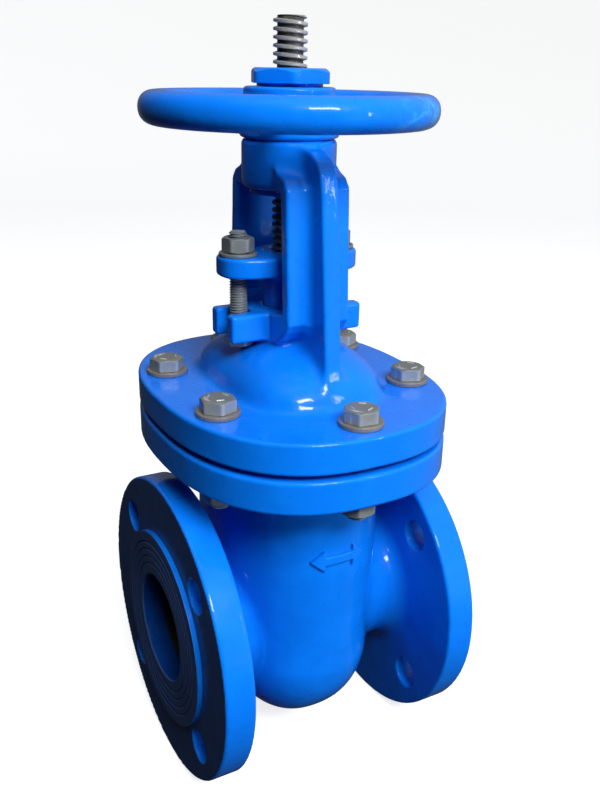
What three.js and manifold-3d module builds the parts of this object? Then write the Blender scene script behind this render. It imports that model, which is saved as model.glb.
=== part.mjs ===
// Flanged gate valve with a rising stem, outside screw and yoke.
// Millimetres, +Z up the stem, +X along the pipe, origin where the two axes cross.
import * as THREE from 'three';
import { mergeVertices } from 'three/addons/utils/BufferGeometryUtils.js';
import Module from 'manifold-3d';

const wasm = await Module();
wasm.setup();

// ---------- driving dimensions ----------
const FIT = 0.3; // radial gap between pieces that slide or sit in each other
const SEAT_GAP = 0.1; // gap between flat faces that are clamped together
const FINE = 40; // segments round the castings
const ARC = 8; // segments in a quarter ellipse
const MEDIUM = 24; // segments round the sleeves, bushes and rings
const COARSE = 16; // segments round the fasteners
const RIM_STEPS = 48; // segments round the handwheel
const RIM_SIDES = 12; // sides of the rim's section

const FACE_TO_FACE = 170;
const PIPE_FLANGE = { radius: 92.5, rim: 18, raised: 3, raisedRadius: 60 };
const PIPE_BOLTS = { circle: 145, count: 4, radius: 9.5, drilled: 40 };
const BORE = 32.5;
const NECK = { radius: 41, flare: 42.5, root: 47, fillet: 14, flareAt: 6, cut: 50.5 };

const OVAL = { halfX: 80.7, halfY: 100.3, power: 2.45 };
const BODY_TOP = { low: 109.5, high: 128.3 };
const BONNET_BASE = { low: 131.5, high: 149.2 };
const BONNET_BOLTS = [
  [60.3, 38],
  [-60.3, 38],
  [0, 82.9],
  [-60.3, -38],
  [60.3, -38],
  [0, -82.9],
];
const M12 = { shank: 6, hole: 7, flats: 18, head: 7.5, nut: 10.4, washer: 12, washerHeight: 2.4 };
const M10 = {
  shank: 5,
  hole: 5.7,
  slot: 6.6,
  flats: 16,
  head: 4.2,
  nut: 8.2,
  washer: 10.6,
  washerHeight: 1.8,
};
const BOLT_PROJECTION = 3.2;

const BOWL = { halfX: 48.5, halfY: 66, power: 2.3, bottom: -75, knee: -16, wall: 8, waist: 0.955 };
const RAIL = { halfX: 4, inner: 47, outer: 62, low: -22, high: 109 };
const SEAT = { tilt: 5, outer: 39, inner: 33.2, thickness: 5, faceX: 16.6 };
const SEAT_BOSS = { radius: 43, faceX: 17.4, backX: 44.5, pocketFloor: 21.9 };

const DOME = { halfX: 43.5, halfY: 61, power: 3.1, top: 178, wall: 7.5, foot: 1.03, springing: 141.5 };
const BOX = { radius: 22, bore: 14.3, floor: 151.7, top: 193.5, tubeBottom: 141 };
const BACKSEAT = { radius: 12.7, bore: 9.4, bottom: 140.2, top: 151.4 };
const LUG = { halfX: 41, halfY: 14.5, low: 178, high: 193.5 };
const GLAND_BOLT_X = 30.7;

const PLATE = { halfX: 19, thickness: 7.5 };
const LEG = { footY: 37.2, footZ: 191, shoulderY: 33.6, shoulderZ: 264, inner: 16, head: 20.3 };
const ANKLE = [[34.4, 187], [29.5, 182.5], [22.5, 178.4]]; // [y, z] where the leg sweeps back under its foot
const RIB = { halfX: 5, footY: 56.2, headY: 45.4, headZ: 262, rootY: 47 };
const RIB_CREST = [[43.4, 270], [38.6, 276.5], [32, 280.5], [20.3, 282.5]]; // [y, z] where the rib runs out
const BOSS = { radius: 25.8, low: 259.3, high: 285.4, rounding: 5, bore: 16.3 };
const YOKE_FOOT = 197; // height at which the yoke meets the bonnet's dome

const WHEEL = { ringRadius: 71, sectionX: 8.7, sectionZ: 8.7, centreZ: 300, power: 2.2 };
const SPOKE = { count: 5, halfX: 4.6, halfZ: 6.4, inner: 19 };
const HUB = { base: 26.6, top: 24.6, low: 285.9, shoulder: 291, high: 311, bore: 14.3 };
const SLEEVE = { lip: 21.5, lipLow: 256.4, body: 16, seat: 14, thread: 12.5, bore: 9.35, high: 319.4 };
const KEY = { width: 5, depth: 5.4, low: 289, high: 309 };
const LOCK_NUT = { flats: 39.5, collar: 17.6, low: 311.1, shoulder: 312.6, high: 320.2 };
const TURNED = { bonnetStep: 17, glandNut: 12, lockNut: 39 }; // degrees each fastener stopped at

const STEM_HEAD = { halfX: 9, halfY: 14, low: 44, high: 51 };
const LIFT = 76; // full travel of the wedge
const COLLAR_TOP = BACKSEAT.bottom - LIFT - 0.6; // meets the back seat when fully open
const STEM = { radius: 9, top: 345.4, collar: 12.6, collarLow: COLLAR_TOP - 8, collarHigh: COLLAR_TOP };
const WEDGE = { radius: 41, reach: 30, hubHalfX: 13.5, hubHalfY: 19, hubLow: 20, hubTop: 55.2 };
const EAR = { halfX: 9, overhang: 3.5, low: -16, high: 18, slack: 0.5 };
const WEDGE_RING = { outer: 38.4, inner: 33.4, thickness: 3 };

const PACKING = { count: 4, height: 8 };
const GLAND = { halfX: 42, halfY: 13.5, low: 213, high: 224, power: 2.7 };
const GLAND_SLEEVE = { radius: 13.9, low: 184.6, bore: 9.6, crown: 18 };
const GASKET = { inner: 0.66, outer: 0.74 };

// ---------- materials ----------
const paint = () => new THREE.MeshStandardMaterial({ color: 0x0a5fe0, roughness: 0.16, metalness: 0 });
const zinc = () => new THREE.MeshStandardMaterial({ color: 0x9a9c96, roughness: 0.4, metalness: 1 });
const steel = () => new THREE.MeshStandardMaterial({ color: 0xb4b6ba, roughness: 0.28, metalness: 1 });
const bronze = () => new THREE.MeshStandardMaterial({ color: 0xb08a4a, roughness: 0.35, metalness: 1 });
const graphite = () => new THREE.MeshStandardMaterial({ color: 0x2b2b2d, roughness: 0.8, metalness: 0 });
const fibre = () => new THREE.MeshStandardMaterial({ color: 0x3a3c3e, roughness: 0.9, metalness: 0 });

// ---------- solids from three.js geometry ----------
function solid(geometry) {
  const bare = geometry.index ? geometry.toNonIndexed() : geometry.clone();
  bare.deleteAttribute('normal');
  bare.deleteAttribute('uv');
  const merged = mergeVertices(bare, 1e-4);
  return new wasm.Manifold(new wasm.Mesh({
    numProp: 3,
    vertProperties: new Float32Array(merged.attributes.position.array),
    triVerts: new Uint32Array(merged.index.array),
  }));
}

function unite(pieces) {
  return pieces.reduce((whole, piece) => whole.add(piece));
}

function cutAll(whole, cutters) {
  return cutters.reduce((left, cutter) => left.subtract(cutter), whole);
}

function toGeometry(shape) {
  const mesh = shape.getMesh();
  const stride = mesh.numProp;
  const count = mesh.vertProperties.length / stride;
  const positions = new Float32Array(count * 3);
  for (let i = 0; i < count; i += 1) {
    for (let k = 0; k < 3; k += 1) {
      positions[i * 3 + k] = mesh.vertProperties[i * stride + k];
    }
  }
  const geometry = new THREE.BufferGeometry();
  geometry.setAttribute('position', new THREE.BufferAttribute(positions, 3));
  geometry.setIndex(new THREE.BufferAttribute(new Uint32Array(mesh.triVerts), 1));
  geometry.computeVertexNormals();
  return geometry;
}

// A box between two corners.
function block(x0, x1, y0, y1, z0, z1) {
  const geometry = new THREE.BoxGeometry(x1 - x0, y1 - y0, z1 - z0);
  geometry.translate((x0 + x1) / 2, (y0 + y1) / 2, (z0 + z1) / 2);
  return solid(geometry);
}

// Turned about the Z axis from [radius, z] pairs running up the outside.
function turned(profile, segments = FINE) {
  const points = profile.map(([radius, z]) => new THREE.Vector2(radius, z));
  const geometry = new THREE.LatheGeometry(points, segments);
  geometry.rotateX(Math.PI / 2);
  return solid(geometry);
}

// Turned about the X axis from [radius, x] pairs.
function turnedX(profile, segments = FINE) {
  return turned(profile, segments).rotate([0, 90, 0]);
}

function drum(radius, z0, z1, segments = COARSE) {
  return turned([[0, z0], [radius, z0], [radius, z1], [0, z1]], segments);
}

function ring(outer, inner, z0, z1, segments = COARSE) {
  return turned([[inner, z0], [outer, z0], [outer, z1], [inner, z1], [inner, z0]], segments);
}

// A regular hexagonal prism, given its width across the flats.
function hexagon(flats, z0, z1) {
  return drum(flats / Math.sqrt(3), z0, z1, 6);
}

// Offsets of a superellipse from its centre at a given angle.
function superellipse(angle, halfX, halfY, power) {
  const c = Math.cos(angle);
  const s = Math.sin(angle);
  return [
    halfX * Math.sign(c) * Math.abs(c) ** (2 / power),
    halfY * Math.sign(s) * Math.abs(s) ** (2 / power),
  ];
}

// A turned profile whose round sections are drawn out into superellipses.
function oval(profile, halfX, halfY, power, segments = FINE) {
  const points = profile.map(([radius, z]) => new THREE.Vector2(radius, z));
  const geometry = new THREE.LatheGeometry(points, segments);
  geometry.rotateX(Math.PI / 2);
  const place = geometry.attributes.position;
  for (let i = 0; i < place.count; i += 1) {
    const x = place.getX(i);
    const y = place.getY(i);
    const radius = Math.hypot(x, y);
    const [u, v] = superellipse(Math.atan2(y, x), halfX, halfY, power);
    place.setXY(i, radius * u, radius * v);
  }
  return solid(geometry);
}

function ovalSlab(halfX, halfY, power, z0, z1) {
  return oval([[0, z0], [1, z0], [1, z1], [0, z1]], halfX, halfY, power);
}

// A side view in [y, z] drawn as a flat plate of constant width across X.
function sidePlate(outline, halfX) {
  const shape = new THREE.Shape(outline.map(([y, z]) => new THREE.Vector2(y, z)));
  const geometry = new THREE.ExtrudeGeometry(shape, { depth: 2 * halfX, bevelEnabled: false });
  geometry.translate(0, 0, -halfX);
  geometry.rotateX(Math.PI / 2);
  geometry.rotateZ(Math.PI / 2);
  return solid(geometry);
}

// What is left of a shape between two heights, within a reach along X.
function between(shape, z0, z1, reach = FACE_TO_FACE) {
  return shape.intersect(block(-reach, reach, -FACE_TO_FACE, FACE_TO_FACE, z0, z1));
}

// Points of a quarter ellipse, from [r0, z0] with an upright tangent to [r1, z1] with a level one.
function quarter(r0, z0, r1, z1) {
  return Array.from({ length: ARC + 1 }, (unused, i) => {
    const turn = (i / ARC) * (Math.PI / 2);
    return [r1 + (r0 - r1) * Math.cos(turn), z0 + (z1 - z0) * Math.sin(turn)];
  });
}

const valve = new THREE.Group();

function add(name, shape, material) {
  const mesh = new THREE.Mesh(toGeometry(shape), material);
  mesh.name = name;
  valve.add(mesh);
}

const HALF = FACE_TO_FACE / 2;
const pipeBoltAngle = (i) => ((i + 0.5) * 2 * Math.PI) / PIPE_BOLTS.count;
const bonnetHoles = (z0, z1) => BONNET_BOLTS.map(([x, y]) => drum(M12.hole, z0, z1).translate([x, y, 0]));

// ---------- body: bowl, necks, pipe flanges and oval top flange ----------
// One casting, held as four solids: the bowl, its top flange and the two necks with their pipe flanges.
function bowlProfile(shrink, top) {
  const bottom = BOWL.bottom + shrink * BOWL.wall;
  const side = quarter(BOWL.waist, BOWL.knee, 0, bottom).reverse();
  return [...side, [1, BODY_TOP.low * 0.55], [1, top], [0, top]];
}

function pipeFlange() {
  const back = HALF - PIPE_FLANGE.raised - PIPE_FLANGE.rim;
  const step = HALF - PIPE_FLANGE.raised;
  return turnedX([
    [0, back],
    [PIPE_FLANGE.radius, back],
    [PIPE_FLANGE.radius, step],
    [PIPE_FLANGE.raisedRadius, step],
    [PIPE_FLANGE.raisedRadius, HALF],
    [0, HALF],
  ]);
}

function bothEnds(piece) {
  return piece.add(piece.rotate([0, 0, 180]));
}

function bodyCasting() {
  const outer = oval(bowlProfile(0, BODY_TOP.high), BOWL.halfX, BOWL.halfY, BOWL.power);
  const top = ovalSlab(OVAL.halfX, OVAL.halfY, OVAL.power, BODY_TOP.low, BODY_TOP.high);
  const flangeBack = HALF - PIPE_FLANGE.raised - PIPE_FLANGE.rim;
  const neck = turnedX([
    [0, 0], [NECK.radius, 0], [NECK.radius, flangeBack - NECK.fillet],
    [NECK.flare, flangeBack - NECK.flareAt], [NECK.root, flangeBack + 1], [0, flangeBack + 1],
  ]);
  const shell = unite([outer, top, bothEnds(neck), bothEnds(pipeFlange())]);

  const cavity = oval(
    bowlProfile(1, BODY_TOP.high + 5),
    BOWL.halfX - BOWL.wall,
    BOWL.halfY - BOWL.wall,
    BOWL.power,
  );
  const seatBoss = turnedX([
    [0, SEAT_BOSS.faceX], [SEAT_BOSS.radius, SEAT_BOSS.faceX], [SEAT_BOSS.radius, SEAT_BOSS.backX],
    [0, SEAT_BOSS.backX],
  ]).rotate([0, SEAT.tilt, 0]);
  const rail = block(-RAIL.halfX, RAIL.halfX, RAIL.inner, RAIL.outer, RAIL.low, RAIL.high);
  const bore = turnedX([[0, 0], [BORE, 0], [BORE, HALF + 5], [0, HALF + 5]]);
  const pocket = turnedX([
    [0, 0], [SEAT.outer + FIT, 0], [SEAT.outer + FIT, SEAT_BOSS.pocketFloor], [0, SEAT_BOSS.pocketFloor],
  ], MEDIUM).rotate([0, SEAT.tilt, 0]);
  const boltHoles = Array.from({ length: PIPE_BOLTS.count }, (unused, i) => {
    const angle = pipeBoltAngle(i);
    const hole = turnedX([
      [0, -HALF - 5],
      [PIPE_BOLTS.radius, -HALF - 5],
      [PIPE_BOLTS.radius, -HALF + PIPE_BOLTS.drilled],
      [0, -HALF + PIPE_BOLTS.drilled],
    ], COARSE);
    const y = (PIPE_BOLTS.circle / 2) * Math.cos(angle);
    const z = (PIPE_BOLTS.circle / 2) * Math.sin(angle);
    return bothEnds(hole.translate([0, y, z]));
  });

  const hollowed = shell.subtract(cavity);
  const bosses = bothEnds(seatBoss).intersect(outer);
  const furnished = unite([hollowed, bosses, rail, rail.rotate([0, 0, 180])]);
  const stemWay = block(-SEAT.faceX, SEAT.faceX, -RAIL.inner, RAIL.inner, -SEAT_BOSS.radius, BODY_TOP.low);
  return cutAll(furnished, [
    bothEnds(bore),
    bothEnds(pocket),
    stemWay.intersect(cavity),
    ...boltHoles,
    ...bonnetHoles(BODY_TOP.low - 5, BODY_TOP.high + 5),
  ]);
}

const casting = bodyCasting();
const seam = SEAT_GAP / 2;
const neckEnd = block(
  NECK.cut + seam,
  FACE_TO_FACE,
  -FACE_TO_FACE,
  FACE_TO_FACE,
  -FACE_TO_FACE,
  BODY_TOP.low - seam,
);
add('body_bowl', between(casting, -FACE_TO_FACE, BODY_TOP.low - seam, NECK.cut - seam), paint());
add('body_top_flange', between(casting, BODY_TOP.low + seam, BONNET_BASE.low), paint());
add('body_outlet_flange', casting.intersect(neckEnd), paint());
add('body_inlet_flange', casting.intersect(neckEnd.rotate([0, 0, 180])), paint());

// ---------- seat rings pressed into the body ----------
const seatRing = turnedX([
  [SEAT.inner, SEAT.faceX],
  [SEAT.outer, SEAT.faceX],
  [SEAT.outer, SEAT.faceX + SEAT.thickness],
  [SEAT.inner, SEAT.faceX + SEAT.thickness],
  [SEAT.inner, SEAT.faceX],
], MEDIUM).rotate([0, SEAT.tilt, 0]);
add('seat_ring_outlet', seatRing, bronze());
add('seat_ring_inlet', seatRing.rotate([0, 0, 180]), bronze());

// ---------- bonnet gasket ----------
function bonnetGasket() {
  const low = BODY_TOP.high + SEAT_GAP;
  const high = BONNET_BASE.low - SEAT_GAP;
  const outer = ovalSlab(OVAL.halfX * GASKET.outer, OVAL.halfY * GASKET.outer, OVAL.power, low, high);
  const inner = ovalSlab(OVAL.halfX * GASKET.inner, OVAL.halfY * GASKET.inner, OVAL.power, low - 1, high + 1);
  return outer.subtract(inner);
}

add('bonnet_gasket', cutAll(bonnetGasket(), bonnetHoles(BODY_TOP.low, BONNET_BASE.high)), fibre());

// ---------- bonnet: flange, dome, stuffing box, yoke legs and yoke head ----------
// One casting, held as three solids: its flange, its dome with the stuffing box, and the yoke above them.
function yokeLeg() {
  const plate = sidePlate([
    [-LEG.footY, LEG.footZ],
    ...ANKLE.map(([y, z]) => [-y, z]),
    [-LEG.inner, LUG.low],
    [-LEG.inner, LUG.high],
    [-LEG.footY + PLATE.thickness, LUG.high + 3],
    [-LEG.shoulderY + PLATE.thickness, BOSS.low],
    [-LEG.head, BOSS.low],
    [-LEG.head, LEG.shoulderZ + 7],
    [-LEG.shoulderY + 4, LEG.shoulderZ + 3],
    [-LEG.shoulderY, LEG.shoulderZ - 2],
  ], PLATE.halfX);
  const rib = sidePlate([
    [-RIB.footY, BONNET_BASE.high - 1],
    [-RIB.headY, RIB.headZ],
    ...RIB_CREST.map(([y, z]) => [-y, z]),
    [-LEG.head, BOSS.low],
    [-SLEEVE.lip - 2, BOSS.low],
    [-LEG.shoulderY + 4, BOSS.low - 5],
    [-LEG.footY + 4, LUG.high],
    [-LEG.inner, LUG.high - 4],
    [-LEG.inner, BONNET_BASE.high + 10],
    [-RIB.rootY, BONNET_BASE.high - 1],
  ], RIB.halfX);
  return plate.add(rib);
}

function forkedLugs() {
  const lugs = block(-LUG.halfX, LUG.halfX, -LUG.halfY, LUG.halfY, LUG.low, LUG.high);
  const end = drum(M10.slot, LUG.low - 1, LUG.high + 1).translate([GLAND_BOLT_X, 0, 0]);
  const mouth = block(GLAND_BOLT_X, LUG.halfX + 5, -M10.slot, M10.slot, LUG.low - 1, LUG.high + 1);
  const slot = end.add(mouth);
  return lugs.subtract(slot).subtract(slot.rotate([0, 0, 180]));
}

function bonnetCasting() {
  const base = ovalSlab(OVAL.halfX, OVAL.halfY, OVAL.power, BONNET_BASE.low, BONNET_BASE.high);
  const dome = oval([
    [0, BONNET_BASE.high - 3],
    [DOME.foot, BONNET_BASE.high - 3],
    ...quarter(1, BONNET_BASE.high, 0, DOME.top),
  ], DOME.halfX, DOME.halfY, DOME.power);
  const roof = DOME.top - DOME.wall;
  const hollow = oval([
    [0, BONNET_BASE.low - 5],
    [1, BONNET_BASE.low - 5],
    ...quarter(1, DOME.springing, 0, roof),
  ], DOME.halfX - DOME.wall, DOME.halfY - DOME.wall, DOME.power);
  const tube = drum(BOX.radius, BOX.tubeBottom, BOX.top, MEDIUM);
  const head = turned([
    [0, BOSS.low],
    [BOSS.radius - BOSS.rounding, BOSS.low],
    [BOSS.radius - 1.5, BOSS.low + 1.5],
    [BOSS.radius, BOSS.low + BOSS.rounding],
    [BOSS.radius, BOSS.high],
    [0, BOSS.high],
  ]);
  const leg = yokeLeg();
  const shell = unite([base, dome, head, leg, leg.rotate([0, 0, 180]), forkedLugs()]);
  const hollowed = shell.subtract(hollow).add(tube);
  return cutAll(hollowed, [
    drum(BOX.bore, BOX.floor, BOX.top + 5, MEDIUM),
    drum(BACKSEAT.radius + FIT, BOX.tubeBottom - 5, BOX.floor + 1, MEDIUM),
    drum(BOSS.bore, BOSS.low - 5, BOSS.high + 5, MEDIUM),
    ...bonnetHoles(BONNET_BASE.low - 5, BONNET_BASE.high + 5),
  ]);
}

const bonnet = bonnetCasting();
const tubeEnd = drum(BOX.radius + FIT, BOX.tubeBottom - FIT, BONNET_BASE.high + FIT, MEDIUM);
const dome = between(bonnet, BONNET_BASE.high + seam, YOKE_FOOT - seam).add(bonnet.intersect(tubeEnd));
add('bonnet_flange', between(bonnet, BODY_TOP.high, BONNET_BASE.high - seam).subtract(tubeEnd), paint());
add('bonnet_dome', dome, paint());
add('yoke', between(bonnet, YOKE_FOOT + seam, WHEEL.centreZ), paint());

// ---------- bonnet bolts, washers and nuts ----------
const washerLow = BONNET_BASE.high + SEAT_GAP;
const washerHigh = washerLow + M12.washerHeight;
const headLow = washerHigh + SEAT_GAP;
const nutHigh = BODY_TOP.low - SEAT_GAP;
const nutLow = nutHigh - M12.nut;
const bonnetWasher = ring(M12.washer, M12.shank + FIT, washerLow, washerHigh);
const bonnetBolt = unite([
  drum(M12.shank, nutLow - BOLT_PROJECTION, headLow + 1),
  hexagon(M12.flats, headLow, headLow + M12.head),
]);
const bonnetNut = hexagon(M12.flats, nutLow, nutHigh).subtract(
  drum(M12.shank + FIT, nutLow - 1, nutHigh + 1),
);
BONNET_BOLTS.forEach(([x, y], i) => {
  const turn = TURNED.bonnetStep * i;
  add(`bonnet_bolt_${i + 1}`, bonnetBolt.rotate([0, 0, turn]).translate([x, y, 0]), zinc());
  add(`bonnet_washer_${i + 1}`, bonnetWasher.translate([x, y, 0]), zinc());
  add(`bonnet_nut_${i + 1}`, bonnetNut.rotate([0, 0, -turn]).translate([x, y, 0]), zinc());
});

// ---------- stuffing box: back-seat bush, packing rings ----------
const backseatBush = turned([
  [BACKSEAT.bore, BACKSEAT.bottom + 3],
  [BACKSEAT.bore + 2.4, BACKSEAT.bottom],
  [BACKSEAT.radius, BACKSEAT.bottom],
  [BACKSEAT.radius, BACKSEAT.top],
  [BACKSEAT.bore, BACKSEAT.top],
  [BACKSEAT.bore, BACKSEAT.bottom + 3],
], MEDIUM);
add('backseat_bush', backseatBush, bronze());

for (let i = 0; i < PACKING.count; i += 1) {
  const low = BOX.floor + SEAT_GAP + i * PACKING.height;
  const packingRing = ring(
    BOX.bore - FIT,
    STEM.radius + FIT,
    low,
    low + PACKING.height - SEAT_GAP,
    MEDIUM,
  );
  add(`packing_ring_${i + 1}`, packingRing, graphite());
}

// ---------- gland: follower, bolts, washers and nuts ----------
function glandFollower() {
  const bar = ovalSlab(GLAND.halfX, GLAND.halfY, GLAND.power, GLAND.low, GLAND.high);
  const collar = drum(GLAND_SLEEVE.crown, GLAND.low, GLAND.high, MEDIUM);
  const sleeve = drum(GLAND_SLEEVE.radius, GLAND_SLEEVE.low, GLAND.high, MEDIUM);
  const hole = drum(M10.hole, GLAND.low - 5, GLAND.high + 5);
  return cutAll(unite([bar, collar, sleeve]), [
    drum(GLAND_SLEEVE.bore, GLAND_SLEEVE.low - 5, GLAND.high + 5, MEDIUM),
    hole.translate([GLAND_BOLT_X, 0, 0]),
    hole.translate([-GLAND_BOLT_X, 0, 0]),
  ]);
}

add('gland_follower', glandFollower(), paint());

const glandWasherLow = GLAND.high + SEAT_GAP;
const glandNutLow = glandWasherLow + M10.washerHeight + SEAT_GAP;
const glandNutHigh = glandNutLow + M10.nut;
const glandHeadHigh = LUG.low - SEAT_GAP;
const glandBolt = unite([
  drum(M10.shank, glandHeadHigh - 1, glandNutHigh + 3),
  hexagon(M10.flats, glandHeadHigh - M10.head, glandHeadHigh),
]);
const glandWasher = ring(
  M10.washer,
  M10.shank + FIT,
  glandWasherLow,
  glandWasherLow + M10.washerHeight,
);
const glandNut = hexagon(M10.flats, glandNutLow, glandNutHigh).subtract(
  drum(M10.shank + FIT, glandNutLow - 1, glandNutHigh + 1),
);
[['left', -1], ['right', 1]].forEach(([side, sign]) => {
  const place = [sign * GLAND_BOLT_X, 0, 0];
  add(`gland_bolt_${side}`, glandBolt.translate(place), zinc());
  add(`gland_washer_${side}`, glandWasher.translate(place), zinc());
  add(`gland_nut_${side}`, glandNut.rotate([0, 0, TURNED.glandNut]).translate(place), zinc());
});

// ---------- yoke sleeve, handwheel, key and lock nut ----------
const keyway = block(
  SLEEVE.seat - KEY.depth / 2 - FIT,
  SLEEVE.seat + KEY.depth / 2 + FIT,
  -KEY.width / 2 - FIT,
  KEY.width / 2 + FIT,
  KEY.low - FIT,
  KEY.high + FIT,
);
const yokeSleeve = turned([
  [SLEEVE.bore, SLEEVE.lipLow],
  [SLEEVE.lip - 1, SLEEVE.lipLow],
  [SLEEVE.lip, SLEEVE.lipLow + 1],
  [SLEEVE.lip, BOSS.low - FIT],
  [SLEEVE.body, BOSS.low - FIT],
  [SLEEVE.body, BOSS.high],
  [SLEEVE.seat, BOSS.high],
  [SLEEVE.seat, HUB.high - 0.5],
  [SLEEVE.thread, HUB.high - 0.5],
  [SLEEVE.thread, SLEEVE.high],
  [SLEEVE.bore, SLEEVE.high],
  [SLEEVE.bore, SLEEVE.lipLow],
], MEDIUM).subtract(keyway);
add('yoke_sleeve', yokeSleeve, bronze());

function handwheel() {
  const hub = turned([
    [0, HUB.low],
    [HUB.base, HUB.low],
    [HUB.base, HUB.shoulder - 1],
    [HUB.top, HUB.shoulder + 2],
    [HUB.top, HUB.high - 2],
    [HUB.top - 2, HUB.high],
    [0, HUB.high],
  ], MEDIUM);
  const section = Array.from({ length: RIM_SIDES }, (unused, i) => {
    const angle = (i / RIM_SIDES) * 2 * Math.PI;
    const [dx, dz] = superellipse(angle, WHEEL.sectionX, WHEEL.sectionZ, WHEEL.power);
    return [WHEEL.ringRadius + dx, WHEEL.centreZ + dz];
  });
  const rim = turned([...section, section[0]], RIM_STEPS);
  const spokeLine = new THREE.LineCurve3(
    new THREE.Vector3(SPOKE.inner, 0, WHEEL.centreZ),
    new THREE.Vector3(WHEEL.ringRadius, 0, WHEEL.centreZ),
  );
  const spokeShape = new THREE.Shape().absellipse(0, 0, SPOKE.halfX, SPOKE.halfZ, 0, 2 * Math.PI);
  const spokeGeometry = new THREE.ExtrudeGeometry(spokeShape, {
    steps: 1,
    curveSegments: 4,
    extrudePath: spokeLine,
  });
  const spoke = solid(spokeGeometry);
  const spokes = Array.from({ length: SPOKE.count }, (unused, i) =>
    spoke.rotate([0, 0, 90 + (i * 360) / SPOKE.count]));
  return cutAll(unite([hub, rim, ...spokes]), [
    drum(HUB.bore, HUB.low - 5, HUB.high + 5, MEDIUM),
    keyway,
  ]);
}

add('handwheel', handwheel(), paint());

const wheelKey = block(
  SLEEVE.seat - KEY.depth / 2,
  SLEEVE.seat + KEY.depth / 2,
  -KEY.width / 2,
  KEY.width / 2,
  KEY.low,
  KEY.high,
);
add('wheel_key', wheelKey, steel());

const lockNut = unite([
  drum(LOCK_NUT.collar, LOCK_NUT.low, LOCK_NUT.shoulder + 1, MEDIUM),
  hexagon(LOCK_NUT.flats, LOCK_NUT.shoulder, LOCK_NUT.high),
]).subtract(drum(SLEEVE.thread + FIT, LOCK_NUT.low - 1, LOCK_NUT.high + 1, MEDIUM));
add('lock_nut', lockNut.rotate([0, 0, TURNED.lockNut]), paint());

// ---------- stem, wedge and wedge rings ----------
const stem = unite([
  turned([
    [0, STEM_HEAD.high - 1],
    [STEM.radius - 1, STEM_HEAD.high - 1],
    [STEM.radius - 1, STEM.collarLow],
    [STEM.collar, STEM.collarLow],
    [STEM.collar, STEM.collarHigh - 3],
    [STEM.radius + 0.4, STEM.collarHigh],
    [STEM.radius, STEM.collarHigh],
    [STEM.radius, STEM.top - 1.5],
    [STEM.radius - 1.5, STEM.top],
    [0, STEM.top],
  ], MEDIUM),
  block(-STEM_HEAD.halfX, STEM_HEAD.halfX, -STEM_HEAD.halfY, STEM_HEAD.halfY, STEM_HEAD.low, STEM_HEAD.high),
]);
add('stem', stem, steel());

// A slab between the two seat planes, which lean in towards the bottom.
function taperSlab(faceX) {
  const lean = Math.tan((SEAT.tilt * Math.PI) / 180);
  const top = WEDGE.hubTop + 5;
  const bottom = -WEDGE.radius - 5;
  const shape = new THREE.Shape([
    new THREE.Vector2(-faceX - lean * bottom, bottom),
    new THREE.Vector2(faceX + lean * bottom, bottom),
    new THREE.Vector2(faceX + lean * top, top),
    new THREE.Vector2(-faceX - lean * top, top),
  ]);
  const geometry = new THREE.ExtrudeGeometry(shape, { depth: FACE_TO_FACE, bevelEnabled: false });
  geometry.translate(0, 0, -HALF);
  geometry.rotateX(Math.PI / 2);
  return solid(geometry);
}

function wedge() {
  const faceX = SEAT.faceX / Math.cos((SEAT.tilt * Math.PI) / 180) - FIT;
  const disc = turnedX([
    [0, -WEDGE.reach],
    [WEDGE.radius, -WEDGE.reach],
    [WEDGE.radius, WEDGE.reach],
    [0, WEDGE.reach],
  ]);
  const hub = block(
    -WEDGE.hubHalfX,
    WEDGE.hubHalfX,
    -WEDGE.hubHalfY,
    WEDGE.hubHalfY,
    WEDGE.hubLow,
    WEDGE.hubTop,
  );
  const earY = RAIL.inner + EAR.overhang;
  const ears = block(-EAR.halfX, EAR.halfX, -earY, earY, EAR.low, EAR.high);
  const gate = disc.intersect(taperSlab(faceX)).add(hub).add(ears);
  const headRoom = block(
    -STEM_HEAD.halfX - FIT,
    WEDGE.hubHalfX + 5,
    -STEM_HEAD.halfY - FIT,
    STEM_HEAD.halfY + FIT,
    STEM_HEAD.low - FIT,
    STEM_HEAD.high + FIT,
  );
  const neckRoom = block(
    -STEM.radius,
    WEDGE.hubHalfX + 5,
    -STEM.radius,
    STEM.radius,
    STEM_HEAD.high,
    WEDGE.hubTop + 5,
  );
  const railRoom = block(
    -RAIL.halfX - EAR.slack,
    RAIL.halfX + EAR.slack,
    RAIL.inner - EAR.slack,
    RAIL.inner + 2 * EAR.overhang,
    EAR.low - 1,
    EAR.high + 1,
  );
  const recess = turnedX([
    [WEDGE_RING.inner - FIT, SEAT.faceX - FIT - WEDGE_RING.thickness - FIT],
    [WEDGE_RING.outer + FIT, SEAT.faceX - FIT - WEDGE_RING.thickness - FIT],
    [WEDGE_RING.outer + FIT, SEAT.faceX + 5],
    [WEDGE_RING.inner - FIT, SEAT.faceX + 5],
    [WEDGE_RING.inner - FIT, SEAT.faceX - FIT - WEDGE_RING.thickness - FIT],
  ], MEDIUM).rotate([0, SEAT.tilt, 0]);
  return cutAll(gate, [
    headRoom,
    neckRoom,
    railRoom,
    railRoom.rotate([0, 0, 180]),
    bothEnds(recess),
  ]);
}

add('wedge', wedge(), paint());

const wedgeRing = turnedX([
  [WEDGE_RING.inner, SEAT.faceX - FIT - WEDGE_RING.thickness],
  [WEDGE_RING.outer, SEAT.faceX - FIT - WEDGE_RING.thickness],
  [WEDGE_RING.outer, SEAT.faceX - FIT],
  [WEDGE_RING.inner, SEAT.faceX - FIT],
  [WEDGE_RING.inner, SEAT.faceX - FIT - WEDGE_RING.thickness],
], MEDIUM).rotate([0, SEAT.tilt, 0]);
add('wedge_ring_outlet', wedgeRing, bronze());
add('wedge_ring_inlet', wedgeRing.rotate([0, 0, 180]), bronze());

export default valve;
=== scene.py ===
import math
from types import SimpleNamespace as Sizes

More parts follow.
